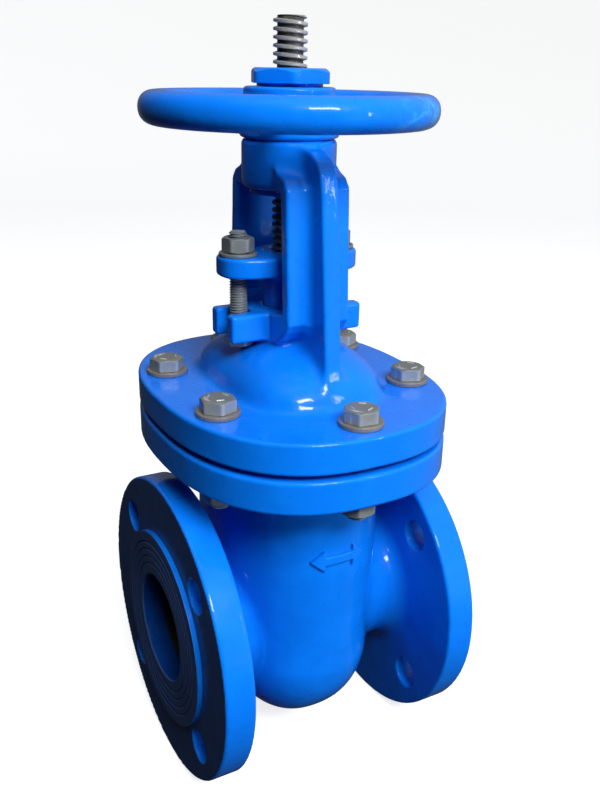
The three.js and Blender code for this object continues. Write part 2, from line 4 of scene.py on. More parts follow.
import bmesh
import bpy
import numpy as np
from mathutils import Matrix, Vector


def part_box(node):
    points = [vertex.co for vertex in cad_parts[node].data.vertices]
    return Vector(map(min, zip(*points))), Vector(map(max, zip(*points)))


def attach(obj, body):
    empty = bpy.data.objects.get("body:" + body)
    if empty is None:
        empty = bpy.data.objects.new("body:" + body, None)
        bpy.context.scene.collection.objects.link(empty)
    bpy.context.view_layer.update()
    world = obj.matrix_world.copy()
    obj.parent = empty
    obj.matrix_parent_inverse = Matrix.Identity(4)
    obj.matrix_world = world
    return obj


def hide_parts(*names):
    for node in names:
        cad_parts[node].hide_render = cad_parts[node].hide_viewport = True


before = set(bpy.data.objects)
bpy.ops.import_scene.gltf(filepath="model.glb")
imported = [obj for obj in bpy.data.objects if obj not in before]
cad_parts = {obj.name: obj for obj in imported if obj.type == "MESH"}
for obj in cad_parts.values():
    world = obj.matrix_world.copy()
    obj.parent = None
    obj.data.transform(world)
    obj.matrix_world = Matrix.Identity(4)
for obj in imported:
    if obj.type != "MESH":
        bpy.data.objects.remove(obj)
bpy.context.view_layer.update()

MM = 0.001  # shapes are drawn in millimetres, in the CAD model's frame

# ---- sizes
# Outer sizes come from the frame's boxes; the others repeat the design's own dimensions.


def span(*nodes):
    """The lowest and highest corners of CAD nodes together, in millimetres."""
    boxes = [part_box(node) for node in nodes]
    low = [min(box[0][k] for box in boxes) / MM for k in range(3)]
    high = [max(box[1][k] for box in boxes) / MM for k in range(3)]
    return low, high


def middle(node):
    low, high = span(node)
    return [(a + b) / 2 for a, b in zip(low, high)]


def heights(node):
    """The lowest and highest z of a CAD node, in millimetres."""
    low, high = span(node)
    return low[2], high[2]


BODY_NODES = ("body_bowl", "body_top_flange", "body_inlet_flange", "body_outlet_flange")
BONNET_NODES = ("bonnet_flange", "bonnet_dome", "yoke")
body_low, body_high = span(*BODY_NODES)
bonnet_low, bonnet_high = span(*BONNET_NODES)
sleeve_low, sleeve_high = span("yoke_sleeve")
stem_low, stem_high = span("stem")
gland_low, gland_high = span("gland_follower")
gasket_low, gasket_high = span("bonnet_gasket")

FACE = body_high[0]
FLANGE = Sizes(radius=-body_low[2], back=FACE - 21, step=FACE - 3, raised=60)
PIPE_HOLE = Sizes(radius=9.5, offset=72.5 * math.sqrt(0.5))  # offset along both Y and Z
BORE = 32.5
NECK = 41
# Deeper in the bore than PAINTED.deep, the dark interior finish stands in as painted shade.
PAINTED = Sizes(deep=13, ring=8)  # how far into the bore the paint and the joint ring reach
GROOVES = Sizes(radii=(53, 48.5, 44, 39.5), top=0.7, floor=0.25, depth=0.7)
OVAL = Sizes(half_x=bonnet_high[0], half_y=bonnet_high[1], power=2.45, ease=1.8)
BODY_TOP = Sizes(low=109.5, high=body_high[2])
BASE = Sizes(low=bonnet_low[2], high=149.2)
BOWL = Sizes(half_x=48.5, half_y=66, power=2.3, bottom=-75, knee=-16, wall=8, waist=0.955)
RAIL = Sizes(half_x=4, inner=47, low=-22, high=124)
SEAT = Sizes(tilt=5, outer=39, inner=33.2, thickness=5, face=16.6)
SEAT_BOSS = Sizes(radius=43, floor=21.9)
DOME = Sizes(half_x=43.5, half_y=61, power=3.1, top=178, wall=7.5)
BOX = Sizes(radius=22, bore=14.3, floor=151.7, top=193.5, low=141)
BUSH_HOLE = 13.0
LUG = Sizes(half_x=41, half_y=14.5, low=178, high=193.5, slot=6.6)
GLAND_BOLT_X = middle("gland_bolt_right")[0]
PLATE = Sizes(half_x=19, wall=7.5, foot_y=37.2, foot_z=191, top_y=33.6, top_z=264, inner=16)
ANKLE = [(34.4, 187), (29.5, 182.5), (22.5, 178.4)]
RIB = Sizes(half_x=5, foot_y=56.2, head_y=45.4, head_z=262)
RIB_CREST = [(43.4, 270), (38.6, 276.5), (32, 280.5), (20.3, 282.5)]
BOSS = Sizes(radius=25.8, low=259.3, high=bonnet_high[2], bore=16.3)
WHEEL = Sizes(ring=71, section=8.7, z=300, spokes=5, spoke_width=6.4, spoke_height=4.6)
HUB = Sizes(base=26.6, top=24.6, low=285.9, shoulder=291, high=311, bore=14.3)
KEY = Sizes(x=14, half_x=3, half_y=2.8, low=288.7, high=309.3)
SLEEVE = Sizes(body=16, seat=14, thread=12.5, bore=9.35)
LOCK_NUT = Sizes(flats=39.5, collar=17.6, bore=12.8, shoulder=1.5, turn=39)
STEM = Sizes(radius=9, root=6.9, pitch=4, thread_low=184)
STEM_COLLAR = Sizes(radius=12.6, low=55.6, high=60.6)
STEM_HEAD = Sizes(half_x=9, half_y=14, height=7)
WEDGE = Sizes(radius=41, hub_x=13.5, hub_y=19, hub_low=20, hub_top=55.2, slot_end=20, slot_top=62)
EAR = Sizes(half_x=9, past_rail=3.5, low=-16, high=18, groove=4.5)
WEDGE_RING = Sizes(outer=38.4, inner=33.4, thickness=3)
GLAND = Sizes(thickness=11, power=2.7, crown=18, sleeve=13.9, hole=5.7)
M12 = Sizes(crest=6, root=5.05, pitch=1.75, flats=18, hole=7, washer=12, washer_hole=6.4)
M10 = Sizes(crest=5, root=4.15, pitch=1.5, flats=16, washer=10.6, washer_hole=5.3)
MARK = Sizes(tip=17.0, head=9.0, barb=6.6, shaft=2.6, z=61.0, relief=2.0, near=58, far=70)
FIT = 0.3
GAP = 0.1  # between faces that are clamped together

# ---- distance fields
# Each takes x, y, z as arrays that broadcast and gives the distance to a surface, negative inside.


def joined(a, b, k):
    h = np.clip(0.5 + 0.5 * (b - a) / k, 0, 1)
    return b + (a - b) * h - k * h * (1 - h)


def cut_away(a, b, k):
    """a without b, with the new edges eased."""
    return -joined(-a, b, k)


def slab(across, along, low, high, ease):
    """An outline's distance, carried from low to high with eased edges."""
    side = across + ease
    end = np.abs(along - (low + high) / 2) - (high - low) / 2 + ease
    inside = np.minimum(np.maximum(side, end), 0)
    return inside + np.hypot(np.maximum(side, 0), np.maximum(end, 0)) - ease


def drum(u, v, along, radius, low, high, ease=1.0):
    return slab(np.hypot(u, v) - radius, along, low, high, ease)


def block(x, y, z, low, high, ease=1.0):
    gaps = [np.abs(c - (a + b) / 2) - (b - a) / 2 + ease for c, a, b in zip((x, y, z), low, high)]
    outside = np.sqrt(sum(np.maximum(gap, 0) ** 2 for gap in gaps))
    return outside + np.minimum(np.maximum(np.maximum(gaps[0], gaps[1]), gaps[2]), 0) - ease


def bar(x, y, z, half_x, half_y, low, high, ease):
    """A block centred on the stem axis, between heights low and high."""
    return block(x, y, z, (-half_x, -half_y, low), (half_x, half_y, high), ease)


def oval_size(x, y, half_x, half_y, power):
    """A superellipse's scale at each point, and how fast it grows along x and y."""
    u = np.abs(x) / half_x + 1e-6
    v = np.abs(y) / half_y + 1e-6
    size = (u**power + v**power) ** (1 / power)
    return size, (u / size) ** (power - 1) / half_x, (v / size) ** (power - 1) / half_y


def oval(x, y, half_x, half_y, power):
    size, grow_x, grow_y = oval_size(x, y, half_x, half_y, power)
    return (size - 1) / np.hypot(grow_x, grow_y)


def oval_plate(x, y, z, low, high):
    """One of the two oval flanges, between heights low and high."""
    return slab(oval(x, y, OVAL.half_x, OVAL.half_y, OVAL.power), z, low, high, OVAL.ease)


def vessel(x, y, z, half_x, half_y, power, knee, depth, waist=1.0):
    """A superelliptic column closed by a quarter ellipse past the knee; a negative depth closes upwards."""
    size, grow_x, grow_y = oval_size(x, y, half_x, half_y, power)
    rise = np.clip((z - knee) / 76, 0, 1)
    narrow = waist + (1 - waist) * rise * rise * (3 - 2 * rise)
    past = np.maximum((knee - z) / depth, 0)
    whole = np.hypot(size / narrow, past)
    lean = size / narrow**2
    return (whole - 1) * whole / np.sqrt((lean * grow_x) ** 2 + (lean * grow_y) ** 2 + (past / depth) ** 2)


def outline(u, v, corners):
    """Distance to a closed outline of straight sides."""
    best = np.inf
    inside = False
    for (u0, v0), (u1, v1) in zip(corners, corners[1:] + corners[:1]):
        du, dv = u1 - u0, v1 - v0
        along = np.clip(((u - u0) * du + (v - v0) * dv) / (du * du + dv * dv), 0, 1)
        best = np.minimum(best, (u - u0 - along * du) ** 2 + (v - v0 - along * dv) ** 2)
        if dv:
            inside = inside ^ (((v0 <= v) != (v1 <= v)) & (u < u0 + (v - v0) * du / dv))
    return np.where(inside, -1, 1) * np.sqrt(best)


def tilted(x, z, sign):
    """x and z turned so that x runs square to a seat face on the side of sign."""
    angle = math.radians(SEAT.tilt)
    along = sign * x * math.cos(angle) - z * math.sin(angle)
    return along, sign * x * math.sin(angle) + z * math.cos(angle)


# ---- meshes from fields
def surface_net(values, axes):
    """One vertex in each cell that the surface crosses, and one quad on each crossed edge."""
    inside = values < 0
    shape = [n - 1 for n in inside.shape]
    corners = [(i, j, k) for i in (0, 1) for j in (0, 1) for k in (0, 1)]
    count = np.zeros(shape, np.uint8)
    for i, j, k in corners:
        count += inside[i : i + shape[0], j : j + shape[1], k : k + shape[2]]
    active = np.argwhere((count > 0) & (count < 8))
    index = np.full(shape, -1, np.int64)
    index[tuple(active.T)] = np.arange(len(active))
    at = np.stack([values[tuple((active + c).T)] for c in corners], 1)
    total = np.zeros((len(active), 3))
    hits = np.zeros(len(active))
    for a, first in enumerate(corners):
        for b, second in enumerate(corners):
            if b <= a or sum(abs(p - q) for p, q in zip(first, second)) != 1:
                continue
            crossed = (at[:, a] < 0) != (at[:, b] < 0)
            part = at[:, a] / np.where(crossed, at[:, a] - at[:, b], 1)
            point = np.array(first) + part[:, None] * (np.array(second) - np.array(first))
            total += np.where(crossed[:, None], point, 0)
            hits += crossed
    cell = axes[0][1] - axes[0][0]
    points = (active + total / hits[:, None]) * cell + [a[0] for a in axes]
    quads = []
    for axis in range(3):
        one, two = (axis + 1) % 3, (axis + 2) % 3
        first = np.take(inside, range(inside.shape[axis] - 1), axis)
        second = np.take(inside, range(1, inside.shape[axis]), axis)
        edges = np.argwhere(first != second)
        leaving = first[tuple(edges.T)]
        ring = []
        for back_one, back_two in ((1, 1), (0, 1), (0, 0), (1, 0)):
            cell_at = edges.copy()
            cell_at[:, one] -= back_one
            cell_at[:, two] -= back_two
            ring.append(index[tuple(cell_at.T)])
        ring = np.stack(ring, 1)
        ring[~leaving] = ring[~leaving][:, ::-1]
        quads.append(ring)
    return points, np.concatenate(quads)


def slope_of(field, points, step=0.2):
    parts = []
    for axis in range(3):
        shift = np.zeros(3)
        shift[axis] = step
        parts.append((field(*(points + shift).T) - field(*(points - shift).T)) / (2 * step))
    return np.stack(parts, 1)


def settle(field, points, cell):
    """Moves points along the field's slope onto its surface."""
    for _ in range(3):
        slope = slope_of(field, points)
        step = field(*points.T)[:, None] * slope / np.maximum((slope**2).sum(1), 0.1)[:, None]
        length = np.sqrt((step**2).sum(1))[:, None]
        points = points - step * np.minimum(1, 0.5 * cell / np.maximum(length, 1e-9))
    return points


def cast(name, field, low, high, cell):
    """A smooth casting: the field's surface as a mesh, with the field's own normals."""
    axes = [np.arange(a - 2 * cell, b + 3 * cell, cell) for a, b in zip(low, high)]
    grid = np.meshgrid(*axes, indexing="ij", sparse=True)
    values = np.broadcast_to(field(*grid), [len(a) for a in axes])
    points, quads = surface_net(values, axes)
    points = settle(field, points, cell)
    mesh = bpy.data.meshes.new(name)
    mesh.from_pydata((points * MM).tolist(), [], quads.tolist())
    slope = slope_of(field, points)
    return shaded(name, mesh, slope)


def shaded(name, mesh, normals):
    """A smooth object whose vertex normals point the given ways."""
    normals = normals / np.maximum(np.sqrt((normals**2).sum(1)), 1e-12)[:, None]
    smooth(mesh)
    mesh.normals_split_custom_set_from_vertices(normals.tolist())
    return linked(name, mesh)


def smooth(mesh):
    mesh.polygons.foreach_set("use_smooth", [True] * len(mesh.polygons))


def linked(name, data):
    """A new object in the scene."""
    thing = bpy.data.objects.new(name, data)
    bpy.context.scene.collection.objects.link(thing)
    return thing


# ---- shapes from points and faces
def build(name, *shapes, crease=None):
    """One object from closed shapes. Its normals lean to the large faces, or break at creases in degrees."""
    mesh = bpy.data.meshes.new(name)
    work = bmesh.new()
    for points, faces in shapes:
        verts = [work.verts.new([c * MM for c in p]) for p in points]
        for face in faces:
            work.faces.new([verts[i] for i in face])
    bmesh.ops.remove_doubles(work, verts=work.verts[:], dist=2e-6)
    bmesh.ops.dissolve_degenerate(work, edges=work.edges[:], dist=1e-6)
    bmesh.ops.recalc_face_normals(work, faces=work.faces[:])
    work.to_mesh(mesh)
    work.free()
    if crease is not None:
        smooth(mesh)
        mesh.set_sharp_from_angle(angle=math.radians(crease))
        return linked(name, mesh)
    normals = np.zeros((len(mesh.vertices), 3))
    for face in mesh.polygons:
        normals[list(face.vertices)] += np.array(face.normal) * face.area
    return shaded(name, mesh, normals)


def moved(shape, x=0.0, y=0.0, z=0.0, turn=0.0):
    """A shape turned about Z by degrees, then shifted."""
    c, s = math.cos(math.radians(turn)), math.sin(math.radians(turn))
    points, faces = shape
    return [(c * p[0] - s * p[1] + x, s * p[0] + c * p[1] + y, p[2] + z) for p in points], faces


def laid_along_x(shape, sign=1, tilt=0.0):
    """A shape turned about Z, laid so that its Z runs along X on the side of sign."""
    angle = math.radians(tilt)
    points = []
    for a, b, along in shape[0]:
        x = along * math.cos(angle) + b * math.sin(angle)
        z = -along * math.sin(angle) + b * math.cos(angle)
        points.append((sign * x, a, z))
    return points, shape[1]


def eased(profile, reach, steps=4):
    """A closed outline with its corners rounded."""
    out = []
    for i, here in enumerate(profile):
        here = np.array(here, float)
        back = np.array(profile[i - 1], float) - here
        on = np.array(profile[(i + 1) % len(profile)], float) - here
        cut = min(reach, np.hypot(*back) * 0.45, np.hypot(*on) * 0.45)
        start = here + back / np.hypot(*back) * cut
        end = here + on / np.hypot(*on) * cut
        for t in np.linspace(0, 1, steps + 1):
            out.append(tuple((1 - t) ** 2 * start + 2 * t * (1 - t) * here + t * t * end))
    return out


def at_angle(rim, angle):
    """[radius, z] pairs as points at an angle about Z."""
    return [(r * math.cos(angle), r * math.sin(angle), z) for r, z in rim]


def revolved(rim, segments):
    """[radius, z] pairs carried round Z, as one column of points after another."""
    return [point for s in range(segments) for point in at_angle(rim, 2 * math.pi * s / segments)]


def skin(rows, columns):
    """Quads between neighbouring columns of points, the last column joined to the first."""
    faces = []
    for s in range(columns):
        here, there = s * rows, (s + 1) % columns * rows
        faces += [(here + k, there + k, there + k + 1, here + k + 1) for k in range(rows - 1)]
    return faces


def inner_wall(rows, columns):
    """Quads from the top of each column of points back to its bottom."""
    starts = [(s * rows, (s + 1) % columns * rows) for s in range(columns)]
    return [(here + rows - 1, there + rows - 1, there, here) for here, there in starts]


def end_caps(rows, columns):
    """One flat face over the columns' bottoms and one over their tops."""
    return [[s * rows for s in range(columns)][::-1], [s * rows + rows - 1 for s in range(columns)]]


def turned(profile, ease=0.5, segments=96):
    """A ring about Z from a closed [radius, z] outline that stays off the axis."""
    rim = eased(profile, ease)
    return revolved(rim, segments), skin(len(rim), segments) + inner_wall(len(rim), segments)


def spindle(profile, segments=64, ease=0.4):
    """A closed solid of revolution from [radius, z] pairs, capped flat at both ends."""
    core = 0.8
    steps = 4
    outline_points = [(core, profile[0][1])] + profile + [(core, profile[-1][1])]
    rim = eased(outline_points, ease, steps)[steps + 1 : -steps - 1]
    return revolved(rim, segments), skin(len(rim), segments) + end_caps(len(rim), segments)


def hexagon_edge(angle, flats):
    """Distance from the centre to a hexagon's side, with its corners slightly rounded."""
    turn = (angle + math.pi / 6) % (math.pi / 3) - math.pi / 6
    side = flats / 2 / math.cos(turn)
    corner = flats / math.sqrt(3) * 0.975
    k = flats * 0.02
    h = min(max(0.5 + 0.5 * (corner - side) / k, 0), 1)
    return side * h + corner * (1 - h) - k * h * (1 - h)


def hexagonal(flats, low, high, hole=0.0, segments=96, top=True, bottom=True):
    """A nut or bolt head: a hexagon whose corners are turned off, with eased edges and an optional hole."""
    face = flats / 2 * 0.95
    slope = math.tan(math.radians(30))
    inner = hole if hole else flats * 0.1
    points = []
    for s in range(segments):
        angle = 2 * math.pi * s / segments
        edge = hexagon_edge(angle, flats)
        drop = (edge - face) * slope
        upper = high - (drop if top else 0)
        lower = low + (drop if bottom else 0)
        rim = [
            (inner + 0.7, low),
            (face - 0.5, low),
            (face, low + 0.1),
            (edge - 0.25, lower),
            (edge, lower + 0.3),
            (edge, upper - 0.3),
            (edge - 0.25, upper),
            (face, high - 0.1),
            (face - 0.5, high),
            (inner + 0.7, high),
        ]
        if hole:
            rim = [(inner, low + 0.7)] + rim + [(inner, high - 0.7)]
        points += at_angle(rim, angle)
    rows = len(rim)
    closing = inner_wall if hole else end_caps
    return points, skin(rows, segments) + closing(rows, segments)


# One pitch of a thread, as [part of the pitch, height from root to crest].
TRAPEZOID = [(0, 0.88), (0.04, 1), (0.33, 1), (0.37, 0.88), (0.48, 0.12), (0.52, 0), (0.85, 0), (0.89, 0.12)]
VEE = [(0, 0.88), (0.06, 1), (0.14, 1), (0.2, 0.88), (0.54, 0.12), (0.6, 0), (0.66, 0.12)]


def threaded(crest, root, pitch, low, high, form, left=False, chamfer=1.0, segments=48):
    """A screw thread, closed by flat ends. Its rows of points follow the helix."""
    phases = [p for p, _ in form]
    cycle = phases + [1.0]
    heights = [h for _, h in form] + [form[0][1]]
    turns = math.ceil((high - low) / pitch) + 1
    rows = len(phases)
    width = turns * rows + 1
    points = []
    for s in range(segments + 1):
        part = s / segments
        angle = 2 * math.pi * part * (1 if left else -1)
        for m in range(width):
            z = low + pitch * (m // rows + phases[m % rows] - part)
            z = min(max(z, low), high)
            height = np.interp(((z - low) / pitch + part) % 1.0, cycle, heights)
            radius = root + (crest - root) * height
            radius = min(radius, crest - max(0, chamfer - (high - z)), crest - max(0, chamfer - (z - low)))
            points.append((radius * math.cos(angle), radius * math.sin(angle), z))
    faces = []
    for s in range(segments):
        here, there = s * width, (s + 1) * width
        faces += [(here + m, there + m, there + m + 1, here + m + 1) for m in range(width - 1)]
    return points, faces + end_caps(width, segments)


# ---- procedural finishes
class Finish:
    """One material's nodes, with short calls for the few kinds that every finish here uses."""

    def __init__(self, name, **sockets):
        self.material = bpy.data.materials.new(name)
        self.material.use_nodes = True
        self.tree = self.material.node_tree
        self.shader = self.tree.nodes["Principled BSDF"]
        self.place = self.node("ShaderNodeTexCoord").outputs["Object"]
        for socket, value in sockets.items():
            self.set(socket.replace("_", " ").title(), value)

    def node(self, kind, **settings):
        made = self.tree.nodes.new(kind)
        for key, value in settings.items():
            setattr(made, key, value)
        return made

    def feed(self, socket, value):
        if isinstance(value, bpy.types.NodeSocket):
            self.tree.links.new(value, socket)
        else:
            socket.default_value = value

    def set(self, name, value):
        names = {"Specular Ior Level": "Specular IOR Level"}
        self.feed(self.shader.inputs[names.get(name, name)], value)

    def scaled(self, stretch):
        mapping = self.node("ShaderNodeMapping")
        self.feed(mapping.inputs["Vector"], self.place)
        mapping.inputs["Scale"].default_value = stretch
        return mapping.outputs["Vector"]

    def noise(self, scale, detail=3.0, rough=0.55, stretch=None, warp=0.0):
        made = self.node("ShaderNodeTexNoise")
        self.feed(made.inputs["Vector"], self.scaled(stretch) if stretch else self.place)
        made.inputs["Scale"].default_value = scale
        made.inputs["Detail"].default_value = detail
        made.inputs["Roughness"].default_value = rough
        made.inputs["Distortion"].default_value = warp
        return made.outputs["Fac"]

    def range(self, value, low, high, to_low=0.0, to_high=1.0):
        made = self.node("ShaderNodeMapRange")
        self.feed(made.inputs["Value"], value)
        for socket, number in zip(("From Min", "From Max", "To Min", "To Max"), (low, high, to_low, to_high)):
            made.inputs[socket].default_value = number
        return made.outputs["Result"]

    def math(self, operation, a, b=0.0):
        made = self.node("ShaderNodeMath", operation=operation)
        self.feed(made.inputs[0], a)
        self.feed(made.inputs[1], b)
        return made.outputs["Value"]

    def mix(self, part, a, b):
        made = self.node("ShaderNodeMix", data_type="RGBA")
        self.feed(made.inputs["Factor"], part)
        self.feed(made.inputs["A"], a if isinstance(a, bpy.types.NodeSocket) else (*a, 1))
        self.feed(made.inputs["B"], b if isinstance(b, bpy.types.NodeSocket) else (*b, 1))
        return made.outputs["Result"]

    def parts(self, vector):
        made = self.node("ShaderNodeSeparateXYZ")
        self.feed(made.inputs["Vector"], vector)
        return made.outputs

    def axes(self):
        """The point's own x, y and z, in metres."""
        return self.parts(self.place)

    def times(self, a, b):
        return self.math("MULTIPLY", a, b)

    def plus(self, a, b):
        return self.math("ADD", a, b)

    def hypot(self, a, b):
        return self.math("SQRT", self.plus(self.times(a, a), self.times(b, b)))

    def direction(self):
        """The way the surface faces, as its X, Y and Z parts."""
        return self.parts(self.node("ShaderNodeNewGeometry").outputs["Normal"])

    def edges(self, low, high):
        """How much a point lies on an outer edge, from the mesh's own curvature."""
        return self.range(self.node("ShaderNodeNewGeometry").outputs["Pointiness"], low, high)

    def bump(self, height, depth, under=None):
        made = self.node("ShaderNodeBump")
        made.inputs["Strength"].default_value = 1.0
        made.inputs["Distance"].default_value = depth
        self.feed(made.inputs["Height"], height)
        if under is not None:
            self.feed(made.inputs["Normal"], under)
        return made.outputs["Normal"]

    def done(self, colour, rough, normal=None):
        """Wires up the colour, roughness and relief, and gives the finished material."""
        self.set("Base Color", colour)
        self.set("Roughness", rough)
        if normal is not None:
            self.set("Normal", normal)
        return self.material


def enamel(name, scuff=None, machined=None):
    """Thick glossy blue paint over a cast surface, thin on faces machined square to X. There, and deep in the
    bore, its colour is darkened as painted shade.
    """
    look = Finish(name, coat_roughness=0.04, specular_ior_level=0.15)
    drift = look.noise(14, 2)
    cloud = look.noise(60, 4, 0.6)
    grit = look.noise(900, 3)
    deep = look.mix(drift, (0.0010, 0.135, 0.66), (0.0015, 0.165, 0.76))
    colour = look.mix(look.range(cloud, 0.45, 0.75, 0, 0.3), deep, (0.004, 0.20, 0.84))
    thin = look.times(look.edges(0.54, 0.62), look.range(cloud, 0.4, 0.7, 0.1, 0.5))
    colour = look.mix(thin, colour, (0.006, 0.24, 0.86))
    rough = look.range(look.noise(120, 4), 0.3, 0.75, 0.24, 0.4)
    if scuff:
        worn = look.range(look.noise(90, 6, 0.75, warp=0.6), 0.5, 0.6)
        for axis, (low, high) in scuff.items():
            worn = look.times(worn, look.range(look.axes()[axis], low, high))
        colour = look.mix(look.times(worn, 0.65), colour, (0.035, 0.36, 0.66))
        rough = look.plus(rough, look.times(worn, 0.15))
    coat = look.range(cloud, 0.3, 0.7, 0.9, 0.8)
    if machined:
        x, y, z = look.axes()
        reach = look.math("ABSOLUTE", x)
        # Painted shade: from 40 to 45 mm out from the middle onwards, the bore's blue goes dark navy.
        bore = look.range(look.hypot(y, z), (BORE + 1.6) * MM, (BORE + 0.9) * MM)
        bore = look.times(bore, look.range(reach, 0.040, 0.045))
        colour = look.mix(bore, colour, look.mix(cloud, (0.001, 0.025, 0.15), (0.001, 0.040, 0.22)))
        # Painted shade: faces machined square to X are darkened to navy. Their thinner coat and higher
        # roughness are the real finish.
        side = look.range(reach, machined - 0.0009, machined - 0.0006)
        square = look.range(look.math("ABSOLUTE", look.direction()["X"]), 0.86, 0.92)
        faced = look.times(side, square)
        colour = look.mix(faced, colour, look.mix(cloud, (0.020, 0.050, 0.16), (0.030, 0.072, 0.23)))
        rough = look.plus(rough, look.times(faced, 0.1))
        coat = look.math("SUBTRACT", coat, look.times(faced, 0.6))
    flow = look.bump(look.noise(34, 2), 0.0009)
    peel = look.bump(look.noise(300, 2), 0.00009, flow)
    look.set("Coat Weight", coat)
    look.set("Coat Normal", peel)
    return look.done(colour, rough, look.bump(grit, 0.00003, peel))


def facing(name):
    """The machined face of a pipe flange: thin paint over fine turning marks, its dark navy a painted shade.
    """
    look = Finish(name, coat_weight=0.25, coat_roughness=0.25)
    _, y, z = look.axes()
    marks = look.math("SINE", look.times(look.hypot(y, z), 2 * math.pi / 0.0011))
    cloud = look.noise(40, 4, 0.6)
    # Painted shade: the face's blue is a dark navy.
    colour = look.mix(cloud, (0.024, 0.056, 0.17), (0.034, 0.080, 0.25))
    bare = look.range(look.noise(130, 5, 0.7), 0.62, 0.75, 0, 0.5)
    colour = look.mix(bare, colour, (0.05, 0.06, 0.075))
    rough = look.range(cloud, 0.3, 0.7, 0.34, 0.5)
    return look.done(colour, rough, look.bump(marks, 0.00004, look.bump(look.noise(700, 3), 0.00005)))


def zinc(name, pale, dull, brown=0.5):
    """Dull zinc plate with water stains, a browner grey on faces that point up, and a little brown in its
    hollows.
    """
    look = Finish(name, specular_ior_level=0.5)
    cloud = look.noise(160, 4, 0.6)
    grain = look.noise(1500, 3)
    colour = look.mix(cloud, dull, pale)
    facing_up = look.range(look.direction()["Z"], 0.6, 0.95, 0, 0.75)
    colour = look.mix(facing_up, colour, look.mix(cloud, (0.19, 0.19, 0.165), (0.29, 0.29, 0.26)))
    patches = look.range(look.noise(95, 5, 0.7, warp=0.5), 0.52, 0.66)
    rust = look.times(patches, look.edges(0.53, 0.44))
    stain = look.math("MAXIMUM", rust, look.range(look.noise(140, 5, 0.65), 0.56, 0.72, 0, brown))
    colour = look.mix(stain, colour, (0.17, 0.115, 0.075))
    colour = look.mix(look.times(look.edges(0.53, 0.6), 0.6), colour, (0.80, 0.81, 0.80))
    look.set("Metallic", look.range(stain, 0, 1, 0.55, 0.25))
    rough = look.range(cloud, 0.25, 0.75, 0.3, 0.5)
    return look.done(colour, rough, look.bump(grain, 0.00003, look.bump(cloud, 0.0001)))


def stem_steel(name, dark_below=None, crest=0.0088, root=0.0072):
    """Turned steel: bright on the crests, with old grease in the roots and below the nut."""
    look = Finish(name, anisotropic=0.3)
    x, y, z = look.axes()
    cloud = look.noise(110, 4, 0.6)
    streak = look.noise(500, 3, stretch=(0.2, 0.2, 4))
    colour = look.mix(cloud, (0.74, 0.74, 0.73), (0.94, 0.94, 0.93))
    roots = look.range(look.hypot(x, y), crest, root)
    grease = look.times(roots, look.range(cloud, 0.2, 0.6, 0.75, 0.98))
    if dark_below:
        old = look.range(z, dark_below + 0.012, dark_below - 0.012)
        old = look.times(old, look.range(cloud, 0.3, 0.6, 0.5, 0.9))
        grease = look.math("MAXIMUM", grease, old)
    look.set("Metallic", look.range(grease, 0, 1, 0.8, 0.35))
    colour = look.mix(grease, colour, (0.035, 0.032, 0.028))
    rough = look.range(streak, 0.3, 0.7, 0.2, 0.38)
    return look.done(colour, rough, look.bump(streak, 0.00003, look.bump(cloud, 0.00004)))


def bronze(name):
    """Turned bronze, slightly tarnished."""
    look = Finish(name)
    cloud = look.noise(90, 4, 0.6)
    streak = look.noise(700, 3, stretch=(0.4, 0.4, 3))
    colour = look.mix(cloud, (0.50, 0.28, 0.10), (0.70, 0.46, 0.20))
    tarnish = look.range(look.noise(45, 5, 0.65), 0.5, 0.75, 0, 0.7)
    look.set("Metallic", look.range(tarnish, 0, 1, 1.0, 0.6))
    colour = look.mix(tarnish, colour, (0.16, 0.10, 0.05))
    rough = look.range(streak, 0.3, 0.7, 0.22, 0.42)
    return look.done(colour, rough, look.bump(streak, 0.00003))


def packing(name):
    """Braided graphite yarn pressed into square rings."""
    look = Finish(name, specular_ior_level=0.4)
    x, y, z = look.axes()
    angle = look.math("ARCTAN2", y, x)
    one = look.plus(look.times(angle, 36), look.times(z, 1500))
    two = look.math("SUBTRACT", look.times(angle, 36), look.times(z, 1500))
    braid = look.math("MAXIMUM", look.math("SINE", one), look.math("SINE", two))
    cloud = look.noise(400, 4)
    colour = look.mix(look.range(braid, -0.6, 1), (0.008, 0.008, 0.009), (0.05, 0.05, 0.055))
    colour = look.mix(look.range(cloud, 0.4, 0.8, 0, 0.4), colour, (0.10, 0.10, 0.11))
    rough = look.range(cloud, 0.3, 0.7, 0.45, 0.75)
    return look.done(colour, rough, look.bump(braid, 0.0003, look.bump(cloud, 0.00006)))


def fibre(name):
    """Pressed fibre gasket sheet: grey-black, flecked and slightly furry at its cut edge."""
    look = Finish(name, specular_ior_level=0.3)
    fleck = look.noise(800, 5, 0.7)
    strand = look.noise(500, 3, stretch=(1, 1, 0.15))
    colour = look.mix(fleck, (0.010, 0.012, 0.014), (0.045, 0.05, 0.055))
    colour = look.mix(look.range(strand, 0.55, 0.8, 0, 0.5), colour, (0.12, 0.12, 0.115))
    rough = look.range(fleck, 0.3, 0.7, 0.7, 0.95)
    return look.done(colour, rough, look.bump(fleck, 0.0001, look.bump(strand, 0.0001)))


def interior_shade(name):
    """Cast iron inside the valve, brown-black and grainy: painted shade for the dark bore and cavity."""
    look = Finish(name, specular_ior_level=0.35)
    cloud = look.noise(50, 5, 0.65)
    grain = look.noise(900, 4, 0.6)
    colour = look.mix(cloud, (0.012, 0.010, 0.010), (0.040, 0.028, 0.020))
    colour = look.mix(look.range(grain, 0.5, 0.8, 0, 0.5), colour, (0.06, 0.045, 0.035))
    rough = look.range(cloud, 0.3, 0.7, 0.6, 0.85)
    return look.done(colour, rough, look.bump(grain, 0.0001, look.bump(cloud, 0.0003)))


def floor_finish(name):
    """Pale studio paper that glows enough to stay white."""
    look = Finish(name, emission_color=(1, 1, 1, 1), emission_strength=0.78)
    cloud = look.noise(6, 3)
    colour = look.mix(cloud, (0.50, 0.50, 0.50), (0.52, 0.52, 0.52))
    return look.done(colour, look.range(cloud, 0.3, 0.7, 0.85, 0.95))
